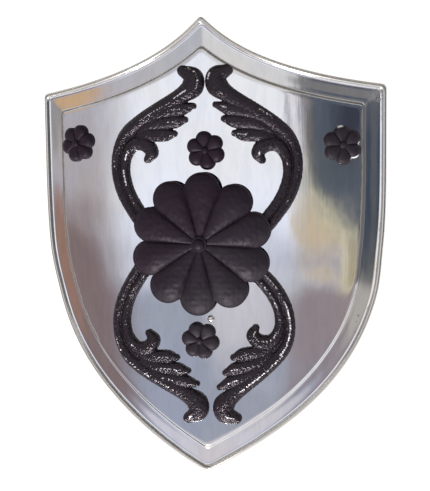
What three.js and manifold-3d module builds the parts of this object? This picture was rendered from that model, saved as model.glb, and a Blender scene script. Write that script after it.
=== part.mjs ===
// Heater shield of polished steel sheet with black cast ornament riveted on its front.
// Units are millimetres. X runs across the shield, Y towards its top point, Z is up.
// The shield lies on its rim with the bulged front upwards.
//
// Every piece is first shaped flat, as the sheet was before it was rolled:
// x across, y along, and z outwards from the front of the border band.
// The bend then rolls all of them round one upright axis.

import * as THREE from 'three';
import { mergeVertices } from 'three/addons/utils/BufferGeometryUtils.js';
import Module from 'manifold-3d';

const wasm = await Module();
wasm.setup();

// Plate
const shieldHeight = 612;       // top point to foot point, before the points are rounded
const flatHalfWidth = 242;      // half the width of the sheet before it is rolled
const bendRadius = 706;         // outside radius of the rolled sheet
const sheetThickness = 1.2;
const shoulderDrop = 93.6;      // top point down to the shoulder corners
const topPointSlope = 44;       // degrees below level at which the top edge leaves the point
const topPointPull = 39.5;      // how far the edge keeps that slope
const shoulderSlope = 6.8;      // degrees at which the top edge meets the shoulder
const shoulderPull = 167;
const straightSide = 84;        // upright stretch below each shoulder
const sidePull = 179;           // how far the side goes on downwards before it sweeps in
const footSlope = 29;           // degrees at which the sides meet at the foot point
const footPull = 276;
const pointRounding = 6;        // how far back from a corner its rounding starts

// Rolled rim, border band and raised middle
const beadRadius = 3.1;
const beadLift = 0.8;           // centre of the bead above the front of the band
const bandWidth = 21.9;         // from the bead to the foot of the pressed step
const stepWidth = 3;
const stepRise = 2.5;

// Fits
const seatGap = 0.3;            // between touching pieces
const holeClearance = 0.3;      // round each rivet

// Scroll castings
const scrollCrest = 7.4;        // height of the stem's ridges above the casting's back
const webThickness = 3.2;
const edgeHeight = 1.6;         // upright edge below the rounded ridges
const scrollReach = 237;        // from the middle of the shield to the top of a scroll's head

// Large rosette
const rosettePetals = 10;
const rosetteRadius = 95.5;
const rosettePetalEnd = 24;     // radius of each rounded petal end
const rosetteCentre = new THREE.Vector2(-3, 5.9);
const rosetteTurn = -3;         // degrees off square
const rosetteWall = 2.5;
const rosetteBulge = 9;         // height of a petal's crest above the rim
const rosetteValley = 1.2;      // height of the valleys above the rim
const rosetteHubRise = 3;       // height of the hub above the rim
const rosetteHubRadius = 12;
const passUnder = 0.5;          // room between the rosette's rim and the scroll stems

// Small flowers
const flowerPetals = 6;
const flowerRadius = 25.8;
const flowerPetalEnd = 10.8;
const flowerRim = 3;
const flowerBulge = 6;
const flowerValley = 2;
const flowerHubRise = 2.6;
const flowerHubRadius = 5.6;
const sideFlowerMargin = 2;     // from a side flower to the pressed step
const sideFlowerDrop = [70.4, 78.4]; // left and right, below the shoulder corners
const topFlowerGap = 2.4;       // from the top flower to the rosette
const footFlowerGap = 8.9;      // from the bottom flower to the rosette
const topFlowerAside = 7.8;     // the top and bottom flowers stand this far off the rosette's middle
const footFlowerAside = -2.8;

// Rivets
const rosetteRivet = { shank: 3, headRadius: 10.3, collar: 1.4, dome: 5.2, domeRadius: 7.6 };
const flowerRivet = { shank: 2.2, headRadius: 4.6, collar: 0.5, dome: 2.6, domeRadius: 4.1 };
const bareRivet = { shank: 2.5, headRadius: 4.9, collar: 0.6, dome: 2.3, domeRadius: 4.5 };
const tailSpread = 1.7;         // formed tail's radius as a share of the shank's
const tailHeight = 1.8;

// Grip on the back, held by the rosette's rivet and the bare rivet below it
const bareRivetGap = 0.8;       // from the bare rivet's head to the rosette
const bareRivetAngle = -83.4;   // degrees, seen from the rosette's centre
const gripWidth = 22;
const gripThickness = 2.5;
const gripFootLength = 11;      // foot beyond each rivet
const gripFootRoom = 2;         // from a rivet's tail to where the bow starts
const gripFingerRoom = 33;      // between the strap and the back of the plate
const gripBowLeave = 12;        // pull of the bow's curve where it leaves a foot
const gripBowReturn = 6;        // pull of the curve where it comes level again
const gripBowOutside = 3;       // how much less the outside of the strap is pulled

// Lying on its rim the shield tips this far towards its foot, in degrees
const restLean = 1.8;

// Fineness of the facets
const topEdgeSteps = 10;
const sideSteps = 18;
const beadSteps = 6;
const ridgeSides = 4;
const outerRidgeSteps = 20;
const innerRidgeSteps = 13;
const leafSteps = 4;
const rivetSides = 8;

const panelInset = 2 * beadRadius + bandWidth;
const panelTopInset = panelInset + stepWidth;
const panelFront = stepRise;
const panelBack = stepRise - sheetThickness;
const scrollBack = panelFront + seatGap;
const rosetteRimBottom = scrollBack + scrollCrest + passUnder;
const topY = shieldHeight / 2;
const shoulderY = topY - shoulderDrop;
const radians = THREE.MathUtils.degToRad;

const steel = new THREE.MeshStandardMaterial({ color: 0xb9bcc2, roughness: 0.22, metalness: 1 });
const blackCasting = new THREE.MeshStandardMaterial({ color: 0x252124, roughness: 0.4, metalness: 0.4 });
const satinBlack = new THREE.MeshStandardMaterial({ color: 0x2f2a2e, roughness: 0.55, metalness: 0.3 });

// Rolls a flat shape round the shield's upright axis.
function bend(geometry) {
  const place = geometry.attributes.position;
  for (let i = 0; i < place.count; i += 1) {
    const angle = place.getX(i) / bendRadius;
    const reach = bendRadius + place.getZ(i);
    place.setXYZ(i, reach * Math.sin(angle), place.getY(i), reach * Math.cos(angle) - bendRadius);
  }
  return geometry;
}

function geometryFrom(points, faces) {
  const geometry = new THREE.BufferGeometry();
  geometry.setAttribute('position', new THREE.Float32BufferAttribute(points.flat(), 3));
  geometry.setIndex(faces.flat());
  return geometry;
}

// Joins rings of equal length into a skin. The last ring may close onto the first.
function skinFaces(ringCount, ringLength, closed) {
  const faces = [];
  const bands = closed ? ringCount : ringCount - 1;
  for (let r = 0; r < bands; r += 1) {
    const here = r * ringLength;
    const next = ((r + 1) % ringCount) * ringLength;
    for (let i = 0; i < ringLength; i += 1) {
      const j = (i + 1) % ringLength;
      faces.push([here + i, next + i, next + j], [here + i, next + j, here + j]);
    }
  }
  return faces;
}

function turnOver([a, b, c]) {
  return [a, c, b];
}

function toSolid(geometry) {
  const bare = geometry.clone();
  bare.deleteAttribute('normal');
  bare.deleteAttribute('uv');
  const merged = mergeVertices(bare, 1e-4);
  return new wasm.Manifold(new wasm.Mesh({
    numProp: 3,
    vertProperties: new Float32Array(merged.attributes.position.array),
    triVerts: new Uint32Array(merged.index.array),
  }));
}

function fromSolid(solid) {
  const mesh = solid.getMesh();
  const geometry = new THREE.BufferGeometry();
  geometry.setAttribute('position', new THREE.BufferAttribute(mesh.vertProperties, 3));
  geometry.setIndex(new THREE.BufferAttribute(mesh.triVerts, 1));
  return geometry;
}

// Outline: a hollow top edge from the top point to the shoulder,
// then a side that drops straight and sweeps in to the foot point.
function edgeCurves() {
  const sideY = shoulderY - straightSide;
  const leave = radians(topPointSlope);
  const arrive = radians(shoulderSlope);
  const foot = radians(footSlope);
  const top = new THREE.CubicBezierCurve(
    new THREE.Vector2(0, topY),
    new THREE.Vector2(topPointPull * Math.cos(leave), topY - topPointPull * Math.sin(leave)),
    new THREE.Vector2(flatHalfWidth - shoulderPull * Math.cos(arrive),
      shoulderY + shoulderPull * Math.sin(arrive)),
    new THREE.Vector2(flatHalfWidth, shoulderY),
  );
  const side = new THREE.CubicBezierCurve(
    new THREE.Vector2(flatHalfWidth, sideY),
    new THREE.Vector2(flatHalfWidth, sideY - sidePull),
    new THREE.Vector2(footPull * Math.cos(foot), footPull * Math.sin(foot) - topY),
    new THREE.Vector2(0, -topY),
  );
  return { top, side };
}

// Points of a curve moved inwards by the inset, kept where x lies between 0 and the limit.
function insetCurve(curve, inset, limit) {
  const points = [];
  const fine = 240;
  for (let i = 0; i <= fine; i += 1) {
    const at = curve.getPoint(i / fine);
    const along = curve.getTangent(i / fine);
    points.push(new THREE.Vector2(at.x + inset * along.y, at.y - inset * along.x));
  }
  const kept = [];
  for (let i = 0; i < points.length; i += 1) {
    const here = points[i];
    const before = points[i - 1];
    const inside = here.x >= 0 && here.x <= limit;
    if (before && inside !== (before.x >= 0 && before.x <= limit)) {
      const wall = Math.min(here.x, before.x) < 0 ? 0 : limit;
      kept.push(before.clone().lerp(here, (wall - before.x) / (here.x - before.x)));
    }
    if (inside) kept.push(here);
  }
  return kept;
}

// Evenly spaced points along a line of points, from one distance to another before its end.
function spaced(line, startTrim, endTrim, steps) {
  const reach = [0];
  for (let i = 1; i < line.length; i += 1) reach.push(reach[i - 1] + line[i].distanceTo(line[i - 1]));
  const total = reach[reach.length - 1];
  const result = [];
  let k = 1;
  for (let n = 0; n <= steps; n += 1) {
    const want = startTrim + (total - endTrim - startTrim) * n / steps;
    while (k < line.length - 1 && reach[k] < want) k += 1;
    const share = (want - reach[k - 1]) / (reach[k] - reach[k - 1]);
    result.push(line[k - 1].clone().lerp(line[k], share));
  }
  return result;
}

function roundedCorner(before, corner, after) {
  return new THREE.QuadraticBezierCurve(before, corner, after).getPoint(0.5);
}

// Right half of the outline moved inwards: top point, top edge, shoulder, side, foot point.
function halfRing(inset) {
  const { top, side } = edgeCurves();
  const sideX = flatHalfWidth - inset;
  const topLine = insetCurve(top, inset, sideX);
  const sideLine = insetCurve(side, inset, sideX);
  const shoulder = topLine[topLine.length - 1];
  sideLine.unshift(new THREE.Vector2(sideX, shoulder.y));
  const topPoints = spaced(topLine, pointRounding, pointRounding, topEdgeSteps);
  const sidePoints = spaced(sideLine, pointRounding, pointRounding, sideSteps);
  const mirror = (p) => new THREE.Vector2(-p.x, p.y);
  const first = topPoints[0];
  const last = sidePoints[sidePoints.length - 1];
  return [
    roundedCorner(mirror(first), topLine[0], first),
    ...topPoints,
    roundedCorner(topPoints[topPoints.length - 1], shoulder, sidePoints[0]),
    ...sidePoints,
    roundedCorner(last, sideLine[sideLine.length - 1], mirror(last)),
  ];
}

function fullRing(inset) {
  const half = halfRing(inset);
  const otherHalf = half.slice(1, -1).reverse().map((p) => new THREE.Vector2(-p.x, p.y));
  return [...half, ...otherHalf];
}

// Section through the rim, from the front of the raised middle round the bead to its back.
function rimSection() {
  const frontAngle = Math.asin(-beadLift / beadRadius);
  const backAngle = 2 * Math.PI - Math.asin((beadLift + sheetThickness) / beadRadius);
  const section = [[panelTopInset, panelFront], [panelInset, 0]];
  for (let i = 0; i <= beadSteps; i += 1) {
    const a = frontAngle + (backAngle - frontAngle) * i / beadSteps;
    section.push([beadRadius + beadRadius * Math.cos(a), beadLift + beadRadius * Math.sin(a)]);
  }
  section.push([panelInset, -sheetThickness], [panelTopInset, panelBack]);
  return section;
}

// Closes a ring with upright strips, so that the middle can be rolled without interior points.
function panelFaces(ring, start, upwards) {
  const half = ring.length / 2;
  const shoulder = topEdgeSteps + 2;
  const topChain = [];
  const footChain = [];
  for (let i = shoulder; i >= -shoulder; i -= 1) topChain.push((i + ring.length) % ring.length);
  for (let i = shoulder; i <= 2 * half - shoulder; i += 1) footChain.push(i);
  const faces = [];
  let a = 0;
  let b = 0;
  while (a < topChain.length - 1 || b < footChain.length - 1) {
    const nextTop = ring[topChain[Math.min(a + 1, topChain.length - 1)]].x;
    const nextFoot = ring[footChain[Math.min(b + 1, footChain.length - 1)]].x;
    const stepTop = b === footChain.length - 1 || (a < topChain.length - 1 && nextTop > nextFoot);
    const third = stepTop ? topChain[a + 1] : footChain[b + 1];
    const face = [topChain[a], third, footChain[b]];
    if (new Set(face).size === 3) faces.push(upwards ? face : turnOver(face));
    if (stepTop) a += 1;
    else b += 1;
  }
  return faces.map((face) => face.map((i) => start + i));
}

function plateGeometry() {
  const points = [];
  const section = rimSection();
  let length = 0;
  let lastRing = [];
  for (const [inset, height] of section) {
    lastRing = fullRing(inset);
    length = lastRing.length;
    for (const p of lastRing) points.push([p.x, p.y, height]);
  }
  const firstRing = fullRing(section[0][0]);
  const rimFaces = skinFaces(section.length, length, false).map(turnOver);
  const faces = [
    ...rimFaces,
    ...panelFaces(firstRing, 0, true),
    ...panelFaces(lastRing, (section.length - 1) * length, false),
  ];
  return geometryFrom(points, faces);
}

// A drill for one rivet hole, standing at its place in the flat sheet.
function drillGeometry(place, radius) {
  const reach = 40;
  const drill = new THREE.CylinderGeometry(radius, radius, 2 * reach, rivetSides);
  drill.rotateX(Math.PI / 2);
  drill.translate(place.x, place.y, 0);
  return drill;
}

// A ridge along a curve: flat back, low upright edges, half-round top, rounded tip.
// Each stop gives x, y, half width and crest height.
const tipRoundings = [38, 72];

function ridgeGeometry(stops, steps) {
  const path = new THREE.CatmullRomCurve3(stops.map((s) => new THREE.Vector3(s[0], s[1], 0)), false, 'centripetal');
  const sizes = new THREE.CatmullRomCurve3(stops.map((s) => new THREE.Vector3(s[2], s[3], 0)), false, 'centripetal');
  const stations = [];
  const add = (t, slide, shrink) => {
    const at = path.getPoint(t);
    const along = path.getTangent(t);
    const size = sizes.getPoint(t);
    at.addScaledVector(along, slide * size.x);
    stations.push({ at, along, half: size.x * shrink, crest: size.y });
  };
  for (let i = 0; i <= steps; i += 1) add(i / steps, 0, 1);
  for (const a of tipRoundings) add(1, Math.sin(radians(a)), Math.cos(radians(a)));
  const points = [];
  for (const { at, along, half, crest } of stations) {
    const across = new THREE.Vector2(along.y, -along.x);
    const shrink = Math.min(1, half / (0.6 * crest));
    const section = [[half, 0]];
    for (let k = 0; k <= ridgeSides; k += 1) {
      const a = Math.PI * k / ridgeSides;
      section.push([half * Math.cos(a), edgeHeight + (crest - edgeHeight) * Math.sin(a) * shrink]);
    }
    section.push([-half, 0]);
    for (const [side, height] of section) points.push([at.x + across.x * side, at.y + across.y * side, height]);
  }
  const length = ridgeSides + 3;
  const faces = skinFaces(stations.length, length, false);
  const end = (stations.length - 1) * length;
  for (let i = 1; i < length - 1; i += 1) {
    faces.push([0, i, i + 1], [end, end + i + 1, end + i]);
  }
  return geometryFrom(points, faces);
}

// The scroll's points are given for this reach, and are scaled with the real one.
const drawnReach = 237;
const scrollScale = scrollReach / drawnReach;
const scrollMiddle = new THREE.Vector2(75, 130).multiplyScalar(scrollScale);

// One scroll casting, drawn as the upper right one: two ridges rise side by side from the root,
// the inner one rolls over into a curl, the outer one runs on into the hooked head,
// and three leaves spring from below the head.
const outerRidge = [
  [73, 6.5, 6, scrollCrest], [100.5, 43, 6.3, scrollCrest], [114.5, 66, 6.6, scrollCrest],
  [122.5, 90, 6.8, scrollCrest], [124, 112, 6.8, scrollCrest], [120, 132, 7, scrollCrest],
  [110, 149.5, 8, 7.8], [92, 164, 9, 8], [71, 177, 9.5, 8], [49, 189, 10, 8],
  [29, 200.5, 11, 8.6], [15.5, 212, 14.6, 9.4], [15, 223, 13.4, 9.2], [28.5, 231.5, 7.6, 7.4],
];
const innerRidge = [
  [61, 13, 5.6, 6.8], [87.5, 45, 6, 6.8], [101, 65, 6.2, 6.8], [109.5, 86, 6.4, 6.8],
  [111.5, 106, 6.4, 6.8], [107, 124, 7.4, 7.2], [95, 136, 9.2, 8], [80, 134.5, 10, 8.8],
  [72, 124.5, 8.8, 8.4], [77.5, 115.5, 5.4, 6],
];
const leaves = [
  [[92, 158, 5, 5], [62, 176, 8, 7.2], [33, 181.5, 9, 7.2], [15, 186, 4.4, 5.6]],
  [[92, 152, 5, 5], [68, 162, 8, 7], [42, 165, 9, 7], [26.5, 168, 4.6, 5.4]],
  [[94, 144, 5, 5], [76, 147.5, 8.8, 6.8], [55, 148, 9.2, 6.8], [41, 149.5, 4.6, 5.4]],
];
// The web spans from the outer ridge's middle line, past the notches between the leaves,
// to the inner ridge's middle line.
const webOutline = [
  ...outerRidge.slice(0, 11), [25, 190], [33, 173], [46, 157], [68, 141],
  ...innerRidge.slice(0, 7).reverse(),
];

function scrollSolid() {
  const web = new THREE.ExtrudeGeometry(
    new THREE.Shape(webOutline.map(([x, y]) => new THREE.Vector2(x, y))),
    { depth: webThickness, bevelEnabled: false },
  );
  let solid = toSolid(ridgeGeometry(outerRidge, outerRidgeSteps));
  solid = solid.add(toSolid(ridgeGeometry(innerRidge, innerRidgeSteps)));
  for (const leaf of leaves) solid = solid.add(toSolid(ridgeGeometry(leaf, leafSteps)));
  return solid.add(toSolid(web));
}

// The four scrolls are the same casting, mirrored into each quarter and set by eye:
// turned about its middle, in degrees, and moved a little off the even place.
const scrollPlaces = {
  scroll_upper_left: { mirrorX: -1, mirrorY: 1, turn: -1.1, moved: [2.2, 3.6] },
  scroll_upper_right: { mirrorX: 1, mirrorY: 1, turn: -2.3, moved: [2, 0.9] },
  scroll_lower_left: { mirrorX: -1, mirrorY: -1, turn: 2.9, moved: [0, -1.4] },
  scroll_lower_right: { mirrorX: 1, mirrorY: -1, turn: 10.5, moved: [-6.3, 9.1] },
};

function scrollGeometry(casting, { mirrorX, mirrorY, turn, moved }) {
  const geometry = fromSolid(casting);
  geometry.scale(scrollScale, scrollScale, 1);
  geometry.translate(-scrollMiddle.x, -scrollMiddle.y, 0);
  geometry.scale(mirrorX, mirrorY, 1);
  if (mirrorX * mirrorY < 0) geometry.index.array.reverse();
  geometry.rotateZ(radians(turn));
  geometry.translate(mirrorX * scrollMiddle.x + moved[0], mirrorY * scrollMiddle.y + moved[1], scrollBack);
  return bend(geometry);
}

// Radius of a flower outline at an angle within one petal, from -1 to 1 across the petal.
function petalReach(across, petals, radius, petalEnd) {
  const angle = across * Math.PI / petals;
  const middle = radius - petalEnd;
  const off = middle * Math.sin(angle);
  return middle * Math.cos(angle) + Math.sqrt(petalEnd * petalEnd - off * off);
}

// Flower of rounded petals: crests along the petals, valleys between, rolled-down ends.
function flowerTop(share, across, shape) {
  const arch = Math.sqrt(Math.max(0, 1 - across * across));
  const swell = Math.sin(Math.PI * Math.min(1, share * 1.15) / 2) * Math.sqrt(Math.max(0, 1 - share ** 6));
  const crest = shape.valley + (shape.bulge - shape.valley) * arch * swell;
  const hub = shape.hubRise * Math.max(0, 1 - share / 0.45) ** 2;
  const ends = Math.sqrt(Math.max(0, 1 - share ** 8));
  return shape.rim + Math.max(crest, hub) * ends;
}

const hollowShare = 0.75;

function flowerGeometry(shape, shares, place, turn) {
  const petalSteps = shape.petalSteps;
  const around = shape.petals * petalSteps;
  const direction = (i) => 2 * Math.PI * i / around + Math.PI / 2 + radians(turn);
  const across = (i) => {
    const step = i % petalSteps;
    return step <= petalSteps / 2 ? 2 * step / petalSteps : 2 * step / petalSteps - 2;
  };
  const points = [];
  const ring = (radiusAt, heightAt) => {
    for (let i = 0; i < around; i += 1) {
      const reach = radiusAt(i);
      points.push([
        place.x + reach * Math.cos(direction(i)), place.y + reach * Math.sin(direction(i)), heightAt(i),
      ]);
    }
  };
  const reachAt = (i) => petalReach(across(i), shape.petals, shape.radius, shape.petalEnd);
  const top = (i, share) => flowerTop(share, across(i), shape);
  const hubShare = shape.hubRadius / shape.radius;
  ring(() => shape.hole, (i) => top(i, hubShare));
  ring(() => shape.hubRadius, (i) => top(i, hubShare));
  for (const share of shares) ring((i) => share * reachAt(i), (i) => top(i, share));
  if (shape.wall) {
    ring(reachAt, () => shape.rim - shape.wall);
    ring((i) => hollowShare * reachAt(i), (i) => top(i, hollowShare) - shape.wall);
    ring(() => shape.hubRadius, (i) => top(i, hubShare) - shape.wall);
    ring(() => shape.hubRadius, () => shape.back);
  } else {
    ring(reachAt, () => shape.back);
  }
  ring(() => shape.hole, () => shape.back);
  const faces = skinFaces(points.length / around, around, true);
  return bend(geometryFrom(points, faces));
}

const rosetteShape = {
  petals: rosettePetals,
  petalSteps: 6,
  radius: rosetteRadius,
  petalEnd: rosettePetalEnd,
  rim: rosetteRimBottom + rosetteWall,
  bulge: rosetteBulge,
  valley: rosetteValley,
  hubRise: rosetteHubRise,
  hubRadius: rosetteHubRadius,
  hole: rosetteRivet.shank + holeClearance,
  wall: rosetteWall,
  back: scrollBack,
};
const flowerShape = {
  petals: flowerPetals,
  petalSteps: 4,
  radius: flowerRadius,
  petalEnd: flowerPetalEnd,
  rim: scrollBack + flowerRim,
  bulge: flowerBulge,
  valley: flowerValley,
  hubRise: flowerHubRise,
  hubRadius: flowerHubRadius,
  hole: flowerRivet.shank + holeClearance,
  wall: 0,
  back: scrollBack,
};
const rosetteShares = [0.35, 0.65, 0.88, 1];
const flowerShares = [0.5, 0.82, 1];

// Centres of the small flowers in the flat sheet, and how far each is turned, in degrees.
const sideFlowerX = flatHalfWidth - panelTopInset - sideFlowerMargin - flowerRadius;
const flowerReach = rosetteRadius + flowerRadius;
const besideRosette = (x, y) => new THREE.Vector2(x, y).add(rosetteCentre);
const flowerPlaces = {
  flower_left: { place: new THREE.Vector2(-sideFlowerX, shoulderY - sideFlowerDrop[0]), turn: -17 },
  flower_right: { place: new THREE.Vector2(sideFlowerX, shoulderY - sideFlowerDrop[1]), turn: 4 },
  flower_top: { place: besideRosette(topFlowerAside, flowerReach + topFlowerGap), turn: 8 },
  flower_bottom: { place: besideRosette(footFlowerAside, -flowerReach - footFlowerGap), turn: 20 },
};

// The bare rivet sits just clear of the rosette and sets the span of the grip.
const gripSpan = rosetteRadius + bareRivetGap + bareRivet.headRadius;
const bareRivetPlace = besideRosette(
  gripSpan * Math.cos(radians(bareRivetAngle)), gripSpan * Math.sin(radians(bareRivetAngle)),
);

// A rivet: domed head on a collar, shank, and a formed tail on the back of the sheet.
function rivetGeometry(rivet, seat, tailSeat, place) {
  const tail = rivet.shank * tailSpread;
  const under = tailSeat - seatGap;
  const profile = [
    [0, under - tailHeight], [0.7 * tail, under - 0.75 * tailHeight], [tail, under],
    [rivet.shank, under], [rivet.shank, seat], [rivet.headRadius, seat],
    [rivet.headRadius, seat + rivet.collar], [rivet.domeRadius, seat + rivet.collar],
  ];
  const domeBase = seat + rivet.collar;
  const slant = radians(50);
  profile.push([rivet.domeRadius * Math.cos(slant), domeBase + rivet.dome * Math.sin(slant)]);
  profile.push([0, domeBase + rivet.dome]);
  const rivetShape = new THREE.LatheGeometry(profile.map(([x, y]) => new THREE.Vector2(x, y)), rivetSides);
  rivetShape.rotateX(Math.PI / 2);
  rivetShape.translate(place.x, place.y, 0);
  return bend(rivetShape);
}

// The grip is a bowed strap with flat feet, drilled for its two rivets.
function gripSolid() {
  const seat = panelBack - seatGap;
  const out = seat - gripThickness;
  const deep = seat - gripFingerRoom;
  const footEnd = -gripFootLength;
  const flat = rosetteRivet.shank * tailSpread + gripFootRoom;
  const farFlat = gripSpan - flat;
  const under = deep - gripThickness;
  const leave = gripBowLeave - gripBowOutside;
  const comeBack = gripBowReturn - gripBowOutside;
  const strap = new THREE.Shape();
  strap.moveTo(footEnd, seat);
  strap.lineTo(flat, seat);
  strap.bezierCurveTo(flat + gripBowLeave, seat, flat + gripBowReturn, deep, gripSpan / 2, deep);
  strap.bezierCurveTo(farFlat - gripBowReturn, deep, farFlat - gripBowLeave, seat, farFlat, seat);
  strap.lineTo(gripSpan - footEnd, seat);
  strap.lineTo(gripSpan - footEnd, out);
  strap.lineTo(farFlat, out);
  strap.bezierCurveTo(farFlat - leave, out, farFlat - comeBack, under, gripSpan / 2, under);
  strap.bezierCurveTo(flat + comeBack, under, flat + leave, out, flat, out);
  strap.lineTo(footEnd, out);
  strap.closePath();
  const grip = new THREE.ExtrudeGeometry(strap, { depth: gripWidth, bevelEnabled: false, curveSegments: 5 });
  grip.translate(0, 0, -gripWidth / 2);
  grip.rotateX(Math.PI / 2);
  const run = bareRivetPlace.clone().sub(rosetteCentre);
  grip.rotateZ(Math.atan2(run.y, run.x));
  grip.translate(rosetteCentre.x, rosetteCentre.y, 0);
  let solid = toSolid(bend(grip));
  const drills = [[rosetteCentre, rosetteRivet], [bareRivetPlace, bareRivet]];
  for (const [place, rivet] of drills) {
    solid = solid.subtract(toSolid(bend(drillGeometry(place, rivet.shank + holeClearance))));
  }
  return solid;
}

const shield = new THREE.Group();

function addPiece(name, geometry, material) {
  const bare = geometry.clone();
  bare.deleteAttribute('normal');
  bare.deleteAttribute('uv');
  const mesh = new THREE.Mesh(mergeVertices(bare, 1e-4), material);
  mesh.geometry.computeVertexNormals();
  mesh.name = name;
  shield.add(mesh);
}

const holes = [
  [rosetteCentre, rosetteRivet],
  [bareRivetPlace, bareRivet],
  ...Object.values(flowerPlaces).map(({ place }) => [place, flowerRivet]),
];
let plate = toSolid(bend(plateGeometry()));
for (const [place, rivet] of holes) {
  plate = plate.subtract(toSolid(bend(drillGeometry(place, rivet.shank + holeClearance))));
}
addPiece('shield_plate', fromSolid(plate), steel);

const casting = scrollSolid();
for (const [name, place] of Object.entries(scrollPlaces)) {
  addPiece(name, scrollGeometry(casting, place), blackCasting);
}

addPiece('rosette', flowerGeometry(rosetteShape, rosetteShares, rosetteCentre, rosetteTurn), satinBlack);
const rosetteSeat = flowerTop(rosetteHubRadius / rosetteRadius, 0, rosetteShape) + seatGap;
const gripBack = panelBack - seatGap - gripThickness;
addPiece('rosette_rivet', rivetGeometry(rosetteRivet, rosetteSeat, gripBack, rosetteCentre), satinBlack);

const flowerSeat = flowerTop(flowerHubRadius / flowerRadius, 0, flowerShape) + seatGap;
for (const [name, { place, turn }] of Object.entries(flowerPlaces)) {
  addPiece(name, flowerGeometry(flowerShape, flowerShares, place, turn), satinBlack);
  addPiece(`${name}_rivet`, rivetGeometry(flowerRivet, flowerSeat, panelBack, place), satinBlack);
}

addPiece('bare_rivet', rivetGeometry(bareRivet, panelFront + seatGap, gripBack, bareRivetPlace), steel);
addPiece('back_grip', fromSolid(gripSolid()), steel);

// Tip the shield to its resting lean and set it down with its box centred on the origin.
shield.rotation.x = radians(restLean);
shield.updateMatrixWorld(true);
const box = new THREE.Box3().setFromObject(shield, true);
const middle = box.getCenter(new THREE.Vector3());
shield.position.set(-middle.x, -middle.y, -box.min.z);

export default shield;
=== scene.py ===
"""Heater shield of polished steel sheet with black cast ornament riveted on its front.

The shield lies on its rim with the bulged front upwards, its top point towards +Y.
Every piece is first worked out flat: x across the sheet, y towards the top point and h outwards
from the front of the border band. The sheet and all that sits on it are then rolled round one
upright axis, tipped to the shield's resting lean and set down. Lengths are in metres, apart from
the drawing of the scroll casting, which is in millimetres.
"""

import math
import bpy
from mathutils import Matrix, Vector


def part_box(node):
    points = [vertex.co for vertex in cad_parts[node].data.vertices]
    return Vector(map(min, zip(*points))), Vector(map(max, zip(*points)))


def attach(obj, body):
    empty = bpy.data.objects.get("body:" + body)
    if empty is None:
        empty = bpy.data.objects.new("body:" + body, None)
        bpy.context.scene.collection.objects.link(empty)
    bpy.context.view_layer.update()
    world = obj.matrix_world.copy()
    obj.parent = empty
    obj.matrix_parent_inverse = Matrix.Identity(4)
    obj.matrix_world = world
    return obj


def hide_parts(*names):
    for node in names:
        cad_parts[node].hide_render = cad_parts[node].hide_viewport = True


bl_info = {
    "name": "Heater Shield",
    "version": (1, 0, 0),
    "blender": (4, 5, 0),
    "location": "3D View > Sidebar > Shield",
    "description": "Builds a steel heater shield with black cast scrolls, rosette and flowers",
    "category": "Object",
}

import bpy
import numpy as np
from bpy.props import FloatProperty, FloatVectorProperty, IntProperty, PointerProperty
from mathutils import Matrix, Vector

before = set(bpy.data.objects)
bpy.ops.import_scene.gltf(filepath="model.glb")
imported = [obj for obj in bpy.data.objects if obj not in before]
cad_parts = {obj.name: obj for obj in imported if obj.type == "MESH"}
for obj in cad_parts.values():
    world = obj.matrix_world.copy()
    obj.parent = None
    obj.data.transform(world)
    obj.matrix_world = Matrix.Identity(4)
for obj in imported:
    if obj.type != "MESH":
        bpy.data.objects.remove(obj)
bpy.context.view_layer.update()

MM = 0.001
REST_LEAN = math.radians(1.8)   # towards the foot, as the shield lies on its rim
SEAT_GAP = 0.3 * MM             # between touching pieces
HOLE_CLEARANCE = 0.3 * MM

# Fineness of the surfaces
TOP_EDGE_STEPS = 104
SIDE_STEPS = 180
CORNER_STEPS = 6
BEAD_STEPS = 26
PANEL_RINGS = 40
BACK_RINGS = 22
EDGE_SAMPLES = 900


def length(name, description, default):
    """A length in metres."""
    return FloatProperty(name=name, description=description, default=default, unit="LENGTH", precision=4)


def angle(name, description, degrees):
    """An angle, given in degrees and kept in radians."""
    return FloatProperty(name=name, description=description, default=math.radians(degrees), subtype="ANGLE")


def share(name, description, default):
    """A factor from 0 to 1."""
    return FloatProperty(
        name=name, description=description, default=default, min=0, max=1, subtype="FACTOR"
    )


def petal_count(name, description, default):
    """A number of petals."""
    return IntProperty(name=name, description=description, default=default, min=3)


def colour(name, description, default):
    """A linear colour."""
    return FloatVectorProperty(
        name=name, description=description, default=default, min=0, max=1, size=3, subtype="COLOR"
    )


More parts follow.
